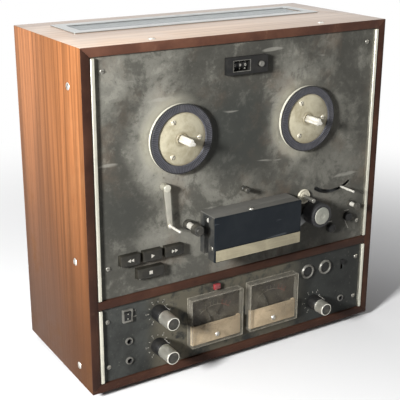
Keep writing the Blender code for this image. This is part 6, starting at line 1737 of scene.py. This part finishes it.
class TAPEDECK_OT_switches(Piece, bpy.types.Operator):
    """Build the power rocker, record buttons, slide switch, record lamp and jack sockets"""

    bl_idname = "tapedeck.switches"
    bl_label = "Switches and jacks"

    def execute(self, context):
        self.rocker()
        for name, x, y in RECORD_BUTTONS:
            self.record(name, x, y)
        slide = Form()
        x, y = SLIDE
        middle = y + SLIDE_SLOT[1] / 2 - SLIDE_LEVER[1] / 2 - GAP
        slide.panel(black_plastic, x, middle, *SLIDE_LEVER, -0.0060, 0.0026, 0.0005)
        for i in range(4):
            rib = middle + (i - 1.5) * 0.0015
            slide.panel(black_plastic, x, rib, 0.0042, 0.0006, 0.0024, 0.0030)
        slide.made("slide_lever", "slide_switch", ("slide_switch",), "black_plastic")
        lens = Form()
        lens.panel(lamp_lens, *LAMP, 0.0095, 0.0078, GAP, 0.0045, 0.0009, 3)
        lens.turned(lamp_lens, peg(0.0030, 0.0020, -0.0090), *LAMP, steps=24)
        lens.made("record_lamp_lens", stands_for=("record_lamp",), slot="red_plastic")
        for name, x, y in JACKS:
            self.jack(name, x, y)
        return {"FINISHED"}

    def rocker(self):
        x, y = ROCKER
        half, front = 0.0055, 0.0036
        outline = [(-half, -0.0006), (-half, front), (-half * 0.5, front - 0.0005), (0, front - 0.0006)]
        outline += [(half * 0.5, front - 0.0005), (half, front), (half, -0.0006)]
        outline += [(half / 2, -0.0060), (-half / 2, -0.0060)]
        upright = Matrix(((0, 0, 1, 0), (1, 0, 0, 0), (0, 1, 0, 0), (0, 0, 0, 1)))
        tilt = Matrix.Rotation(ROCKER_TILT, 4, "X")
        rocker = Form()
        place = lifted(x, y) @ tilt @ upright
        rocker.sheet(black_plastic, [outline], -0.0044, 0.0044, 0.0003, matrix=place)
        for sign in (-1, 1):
            dot = lifted(x, y) @ tilt @ Matrix.Translation((0, sign * 0.0034, front - 0.0003))
            rocker.turned(pale_ink, peg(0.0007, 0.0001, -0.0002), steps=20, matrix=dot)
        rocker.made("rocker_lever", "power_rocker", ("power_rocker",), "black_plastic")

    def record(self, name, x, y):
        button = Form()
        face = [(0, 0.0010), (0.0040, 0.0010), (0.0058, 0.0016), (0.0069, 0.0010), (0.0069, -0.0028)]
        face += [(0.0085, -0.0028), (0.0085, -0.0040), (0.0069, -0.0040), (0.0069, -0.0090), (0, -0.0090)]
        button.turned(black_plastic, face, x, y, steps=64, soft=0.0003)
        node = f"{name}_record_button"
        button.made(f"{node}_cap", node, (node,), "black_plastic")

    def jack(self, name, x, y):
        """A jack socket with a nut and a dark bore."""
        jack = Form()
        metal = dull_metal
        nut = [(0.0033, 0.0022), (0.0036, 0.0022), (0.0050, 0.0018), (0.0050, GAP)]
        nut += [(0.0043, GAP), (0.0043, -0.0028)]
        jack.turned(metal, nut, x, y, steps=48)
        body = [(0.0043, -0.0028), (0.0070, -0.0028), (0.0070, -0.0300), (0, -0.0300)]
        jack.turned(black_plastic, body, x, y, steps=48)
        bore = [(0, -0.0280), (0.0033, -0.0280), (0.0033, 0.0022)]
        jack.turned(rubber, bore, x, y, steps=48)
        jack.made(f"{name}_socket", stands_for=(name,), slot="steel")


class TAPEDECK_OT_knobs(Piece, bpy.types.Operator):
    """Build the black rings with their pointers and the fluted silver knobs"""

    bl_idname = "tapedeck.knobs"
    bl_label = "Knobs"

    def execute(self, context):
        flutes = context.scene.tape_deck_details.knob_flutes
        for name, x, y in INPUT_KNOBS:
            ring = Form()
            self.ring(ring, x, y, 0.0038)
            ring.made(f"{name}_ring_pointer", f"{name}_ring", (f"{name}_ring",), "black_plastic")
            knob = Form()
            self.knob(knob, x, y, RING_LENGTH + 0.0011, KNOB_FRONT, flutes)
            knob.made(f"{name}_knob_fluted", f"{name}_knob", (f"{name}_knob",), "silver")
        knob = Form()
        self.ring(knob, *OUTPUT_KNOB, 0.0)
        self.knob(knob, *OUTPUT_KNOB, RING_LENGTH, OUTPUT_FRONT, flutes)
        knob.made("output_knob_fluted", "output_knob", ("output_knob",), "silver")
        return {"FINISHED"}

    def ring(self, form, x, y, bore):
        """The black ring behind a knob, with the raised pointer on its front."""
        plastic = black_plastic
        profile = [(bore, RING_LENGTH), (0.0094, RING_LENGTH), (0.0099, RING_LENGTH - 0.0008)]
        profile += [(RING_RADIUS, 0.0040), (RING_RADIUS, GAP), (0.0055, GAP)]
        profile += [(0.0055, -0.0080), (bore, -0.0080)]
        if bore:
            profile.append(profile[0])
        form.turned(plastic, profile, x, y, steps=80)
        place = lifted(x, y, 0, -math.radians(40))
        ink, top = pale_ink, RING_LENGTH - 0.0009
        form.block(plastic, (-0.0022, 0.0040, 0.0031), (0.0022, 0.0112, top), 0.0004, matrix=place)
        form.block(ink, (-0.0022, 0.0107, top), (0.0022, 0.0112, top + 0.0001), matrix=place)
        form.block(ink, (-0.0022, 0.0111, 0.0060), (-0.0016, 0.0113, top), matrix=place)

    def knob(self, form, x, y, back, front, flutes):
        """A silver knob, fluted along its side, with a recessed dark face."""
        metal, dark = knob_metal, dark_face
        nose = KNOB_RADIUS - 0.0006
        side = [(nose - 0.0011, front), (nose - 0.0003, front - 0.0002), (nose, front - 0.0009)]
        side += [(nose + share * 0.0003, front + share * (back - front)) for share in (0.1, 0.4, 0.7, 0.9)]
        side += [(KNOB_RADIUS, back + 0.0008), (KNOB_RADIUS, back), (0.0035, back)]
        shape = turned_shape(side, flutes * 4)
        for vert in shape.verts:
            if front - 0.0012 > vert.co.z > back + 0.0012 and vert.co.xy.length > nose - 0.0002:
                wave = math.cos(flutes * math.atan2(vert.co.y, vert.co.x))
                vert.co.xy = vert.co.xy * (1 + 0.018 * wave)
        form.add(shape, metal, lifted(x, y))
        face = [(0, front - 0.0016), (nose - 0.0014, front - 0.0016), (nose - 0.0011, front)]
        form.turned(dark, face, x, y, steps=flutes * 4)
        form.turned(metal, [(0.0035, back), (0.0035, -0.0110), (0, -0.0110)], x, y, steps=flutes * 4)


class TAPEDECK_OT_meters(Piece, bpy.types.Operator):
    """Build the level meters: clear covers, scale cards, beige masks and needles"""

    bl_idname = "tapedeck.meters"
    bl_label = "Level meters"

    def execute(self, context):
        for side, x in METERS:
            self.cover(side, x)
            self.dial(side, x)
            self.needle(side, x)
        return {"FINISHED"}

    def cover(self, side, x):
        """A clear box with thick walls and a raised rim round its pane."""
        cover = Form()
        wall, pane = pane_wall, smoky_pane
        width, height = METER_SIZE
        outer = soft_rectangle(x, METER_Y, width, height, 0.0009)
        inner = rectangle(x, METER_Y, width - 2 * METER_WALL, height - 2 * METER_WALL)
        cover.sheet(wall, [outer, inner], GAP + 0.0006, METER_PROUD - 0.0005)
        line = soft_rectangle(x, METER_Y, width - 0.0012, height - 0.0012, 0.0005)
        for back, front in ((GAP, GAP + 0.0006), (METER_PROUD - 0.0005, METER_PROUD)):
            cover.sheet(pane_edge, [outer, line], back, front, 0.00015)
        front = METER_PROUD - 0.0005
        cover.sheet(pane, [inner], front - 0.0012, front)
        cover.made(f"{side}_meter_case", stands_for=(f"{side}_meter_cover",), slot="clear_plastic")

    def dial(self, side, x):
        dial = Form()
        card, mask, ink = dial_card, beige_mask, faded_ink
        width, height = METER_SIZE[0] - DIAL_MARGIN, METER_SIZE[1] - DIAL_MARGIN
        low, face = METER_Y - height / 2, 0.0043
        dial.panel(card, x, METER_Y, width, height, GAP, face)
        mask_middle = low + MASK_HEIGHT / 2
        outline = soft_rectangle(x, mask_middle, width, MASK_HEIGHT, 0.0003, 2)
        dial.sheet(mask, [outline], 0.0073, 0.0087, 0.0002)
        for sign in (-1, 1):
            leg = x + sign * (width / 2 - 0.0020)
            dial.panel(mask, leg, mask_middle, 0.0040, MASK_HEIGHT, face, 0.0073)
        place = lifted(x + 0.0012, 0.0386, 0.0087)
        slotted_screw(dial, place, MASK_SCREW_RADIUS, 0.0018, 0.9, bright_screw)
        dial.turned(screw_metal, peg(0.0009, 0.0066, face), x, METER_PIVOT, steps=20)
        dial.turned(black_plastic, peg(0.0180, 0.0022, -0.0180), x, METER_Y, steps=56)
        self.scale(dial, ink, x, face)
        dial.made(f"{side}_meter_card", stands_for=(f"{side}_meter_dial",), slot="cream")

    def scale(self, dial, ink, x, face):
        """The curved level scale with its ticks and numbers, red at the loud end."""
        low, high = face + 0.00002, face + 0.00010
        red, split, pivot = red_ink, math.radians(SCALE_RED), Vector((x, METER_PIVOT))
        for first, last, finish in ((-SCALE_HALF, split, ink), (split, SCALE_HALF, red)):
            outline = [tuple(pivot + clockwise(a) * SCALE_RADIUS) for a in arc(first, last, 24)]
            outline += [tuple(pivot + clockwise(a) * (SCALE_RADIUS - 0.0007)) for a in arc(last, first, 24)]
            dial.sheet(finish, [outline], low, high)
        for degrees, number in SCALE_NUMBERS:
            a = math.radians(degrees)
            way = clockwise(a)
            finish = ink if degrees < SCALE_RED else red
            inner, outer = pivot + way * SCALE_RADIUS, pivot + way * (SCALE_RADIUS + 0.0024)
            dial.sheet(finish, [capsule(inner, outer, 0.0006, 0.0006, 4)], low, high)
            spot = pivot + way * (SCALE_RADIUS + 0.0045)
            dial.words(finish, number, 0.0034, lifted(spot.x, spot.y, high, -a), depth=0.00004)

    def needle(self, side, x):
        needle = Form()
        outline = [(0.0003, 0.0400), (-0.0003, 0.0400)]
        boss = arc(math.radians(103), math.radians(437), 24)
        outline += [(0.0026 * math.cos(a), 0.0026 * math.sin(a)) for a in boss]
        bore = circle(0, 0, 0.0012, 16)
        place = lifted(x, METER_PIVOT, 0, NEEDLE_REST)
        needle.sheet(dark_ink, [outline, bore], 0.0054, 0.0062, matrix=place)
        body = f"{side}_meter_needle"
        needle.made(f"{side}_needle", body, (body,), "black_plastic")


class TAPEDECK_OT_rear(Piece, bpy.types.Operator):
    """Dress the rear cover and the connector panel with its rings and plate screws"""

    bl_idname = "tapedeck.rear"
    bl_label = "Rear"

    def execute(self, context):
        wear_node("rear_cover", rear_paint)
        wear_node("connector_panel", steel_sheet)
        low, high = (Vector(corner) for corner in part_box("rear_cover"))
        face = high.y
        backwards = Matrix.Rotation(-math.pi / 2, 4, "X")
        screws = Form(front=False)
        for sign in (-1, 1):
            for z in (low.z + 0.009, (low.z + high.z) / 2, high.z - 0.009):
                spot = Matrix.Translation((sign * (high.x - 0.009), face, z)) @ backwards
                slotted_screw(screws, spot, turn=z * 50)
        panel_low, panel_high = (Vector(corner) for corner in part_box("connector_panel"))
        middle = (panel_low.z + panel_high.z) / 2
        for sign in (-1, 1):
            spot = Matrix.Translation((sign * (panel_high.x - 0.006), face - 0.00075, middle)) @ backwards
            slotted_screw(screws, spot, turn=sign)
        screws.made("rear_screws", slot="steel")
        rings = Form(front=False)
        white = finish_of(jack_plastic, "jack_white", (0.55, 0.53, 0.48))
        red = finish_of(jack_plastic, "jack_red", (0.35, 0.03, 0.03))
        ring = [(0.0044, 0.0022), (0.0056, 0.0018), (0.0056, 0), (0.0044, 0), (0.0044, 0.0022)]
        for x in LINE_JACKS:
            for finish, z in ((white, middle + LINE_JACK_DROP), (red, middle - LINE_JACK_DROP)):
                spot = Matrix.Translation((x, face - 0.00075 + GAP / 3, z)) @ backwards
                rings.turned(finish, ring, steps=40, matrix=spot)
        rings.made("jack_rings", slot="cream")
        return {"FINISHED"}


def wear_node(node, finish):
    """Gives a CAD node that stays in view a better material."""
    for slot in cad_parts[node].material_slots:
        slot.material = finish_of(finish)


class TAPEDECK_OT_inside(Piece, bpy.types.Operator):
    """Give the chassis, amplifier tray, pulley and belt inside the cabinet their finishes"""

    bl_idname = "tapedeck.inside"
    bl_label = "Inside"

    def execute(self, context):
        wear_node("chassis", motor_paint)
        wear_node("amplifier_unit", steel_sheet)
        wear_node("capstan_pulley", knob_metal)
        wear_node("capstan_belt", rubber)
        return {"FINISHED"}


class TAPEDECK_OT_stage(Piece, bpy.types.Operator):
    """Set the floor, the soft studio light and the camera at the photograph's angle"""

    bl_idname = "tapedeck.stage"
    bl_label = "Stage"

    def execute(self, context):
        scene = context.scene
        scene.view_settings.view_transform = "Standard"
        self.floor()
        self.world(scene)
        for light in LIGHTS:
            self.lamp(*light)
        self.camera(scene)
        return {"FINISHED"}

    def floor(self):
        bm = bmesh.new()
        bmesh.ops.create_grid(bm, x_segments=8, y_segments=8, size=9.0)
        mesh = bpy.data.meshes.new("studio_floor")
        bm.to_mesh(mesh)
        bm.free()
        floor = bpy.data.objects.new("studio_floor", mesh)
        bpy.context.scene.collection.objects.link(floor)
        finish = Finish("studio_floor", (0.86, 0.86, 0.86), 0.8)
        seen = finish.in_view()
        pale = finish.mix(finish.noise(1.5, detail=3.0), (0.85, 0.85, 0.85), (0.88, 0.88, 0.88))
        finish.set("Base Color", finish.mix(seen, (0.14, 0.13, 0.12), pale))
        finish.backed_by_white(finish.radius((0, 0, 0), (1, 1, 0)).above(0.30, 1.1))
        mesh.materials.append(finish.material)

    def world(self, scene):
        """Soft light from all round, and plain white to the camera and in what shines."""
        world = bpy.data.worlds.new("studio")
        world.use_nodes = True
        nodes = Nodes(world.node_tree)
        soft = nodes.node("ShaderNodeBackground", inputs=((0.93, 0.95, 1.0), 0.10))
        white = nodes.node("ShaderNodeBackground", inputs=((1.0, 1.0, 1.0), 1.0))
        mixed = nodes.node("ShaderNodeMixShader", inputs=(nodes.in_view(), soft, white))
        nodes.fill(nodes.tree.nodes["World Output"].inputs[0], mixed)
        scene.world = world

    def lamp(self, name, spot, target, size, power):
        light = bpy.data.lights.new(name, "AREA")
        light.shape = "SQUARE"
        light.size = size
        light.energy = power
        obj = bpy.data.objects.new(name, light)
        obj.location = spot
        obj.rotation_euler = (Vector(spot) - Vector(target)).to_track_quat("Z", "Y").to_euler()
        bpy.context.scene.collection.objects.link(obj)

    def camera(self, scene):
        """The camera that the photograph's cabinet corners were fitted with."""
        azimuth, elevation, roll = (math.radians(angle) for angle in CAMERA_ANGLES)
        flat = math.cos(elevation)
        back = Vector((math.sin(azimuth) * flat, -math.cos(azimuth) * flat, math.sin(elevation)))
        right = Vector((math.cos(azimuth), math.sin(azimuth), 0))
        up = back.cross(right)
        turned_right = right * math.cos(roll) + up * math.sin(roll)
        turned_up = up * math.cos(roll) - right * math.sin(roll)
        axes = Matrix((turned_right, turned_up, back)).transposed().to_4x4()
        data = bpy.data.cameras.new("camera")
        data.sensor_width = 36
        data.lens = CAMERA_LENS
        data.shift_x, data.shift_y = CAMERA_SHIFT
        camera = bpy.data.objects.new("camera", data)
        camera.matrix_world = Matrix.Translation(CAMERA_PLACE) @ axes
        scene.collection.objects.link(camera)
        scene.camera = camera


OPERATORS = (
    TAPEDECK_OT_cabinet,
    TAPEDECK_OT_feet,
    TAPEDECK_OT_grille,
    TAPEDECK_OT_deck_plate,
    TAPEDECK_OT_reel_tables,
    TAPEDECK_OT_counter,
    TAPEDECK_OT_tension_arms,
    TAPEDECK_OT_guides,
    TAPEDECK_OT_head_housing,
    TAPEDECK_OT_capstan,
    TAPEDECK_OT_keys,
    TAPEDECK_OT_deck_marks,
    TAPEDECK_OT_amplifier_plate,
    TAPEDECK_OT_switches,
    TAPEDECK_OT_knobs,
    TAPEDECK_OT_meters,
    TAPEDECK_OT_rear,
    TAPEDECK_OT_inside,
    TAPEDECK_OT_stage,
)


class TAPEDECK_PT_panel(bpy.types.Panel):
    """The deck's pieces and finishes in the sidebar"""

    bl_idname = "TAPEDECK_PT_panel"
    bl_label = "Tape Deck"
    bl_space_type = "VIEW_3D"
    bl_region_type = "UI"
    bl_category = "Tape Deck"

    def draw(self, context):
        layout = self.layout
        for group in (context.scene.tape_deck_finishes, context.scene.tape_deck_details):
            box = layout.box()
            for name in group.__annotations__:
                box.prop(group, name)
        for operator in OPERATORS:
            layout.operator(operator.bl_idname)


CLASSES = (TapeDeckFinishes, TapeDeckDetails, *OPERATORS, TAPEDECK_PT_panel)


def register():
    for cls in CLASSES:
        bpy.utils.register_class(cls)
    bpy.types.Scene.tape_deck_finishes = PointerProperty(type=TapeDeckFinishes)
    bpy.types.Scene.tape_deck_details = PointerProperty(type=TapeDeckDetails)


def unregister():
    del bpy.types.Scene.tape_deck_details
    del bpy.types.Scene.tape_deck_finishes
    for cls in reversed(CLASSES):
        bpy.utils.unregister_class(cls)


def main():
    register()
    for operator in OPERATORS:
        group, name = operator.bl_idname.split(".")
        result = getattr(getattr(bpy.ops, group), name)()
        if "FINISHED" not in result:
            raise RuntimeError(f"{operator.bl_label} wasn't built")


if __name__ == "__main__":
    main()
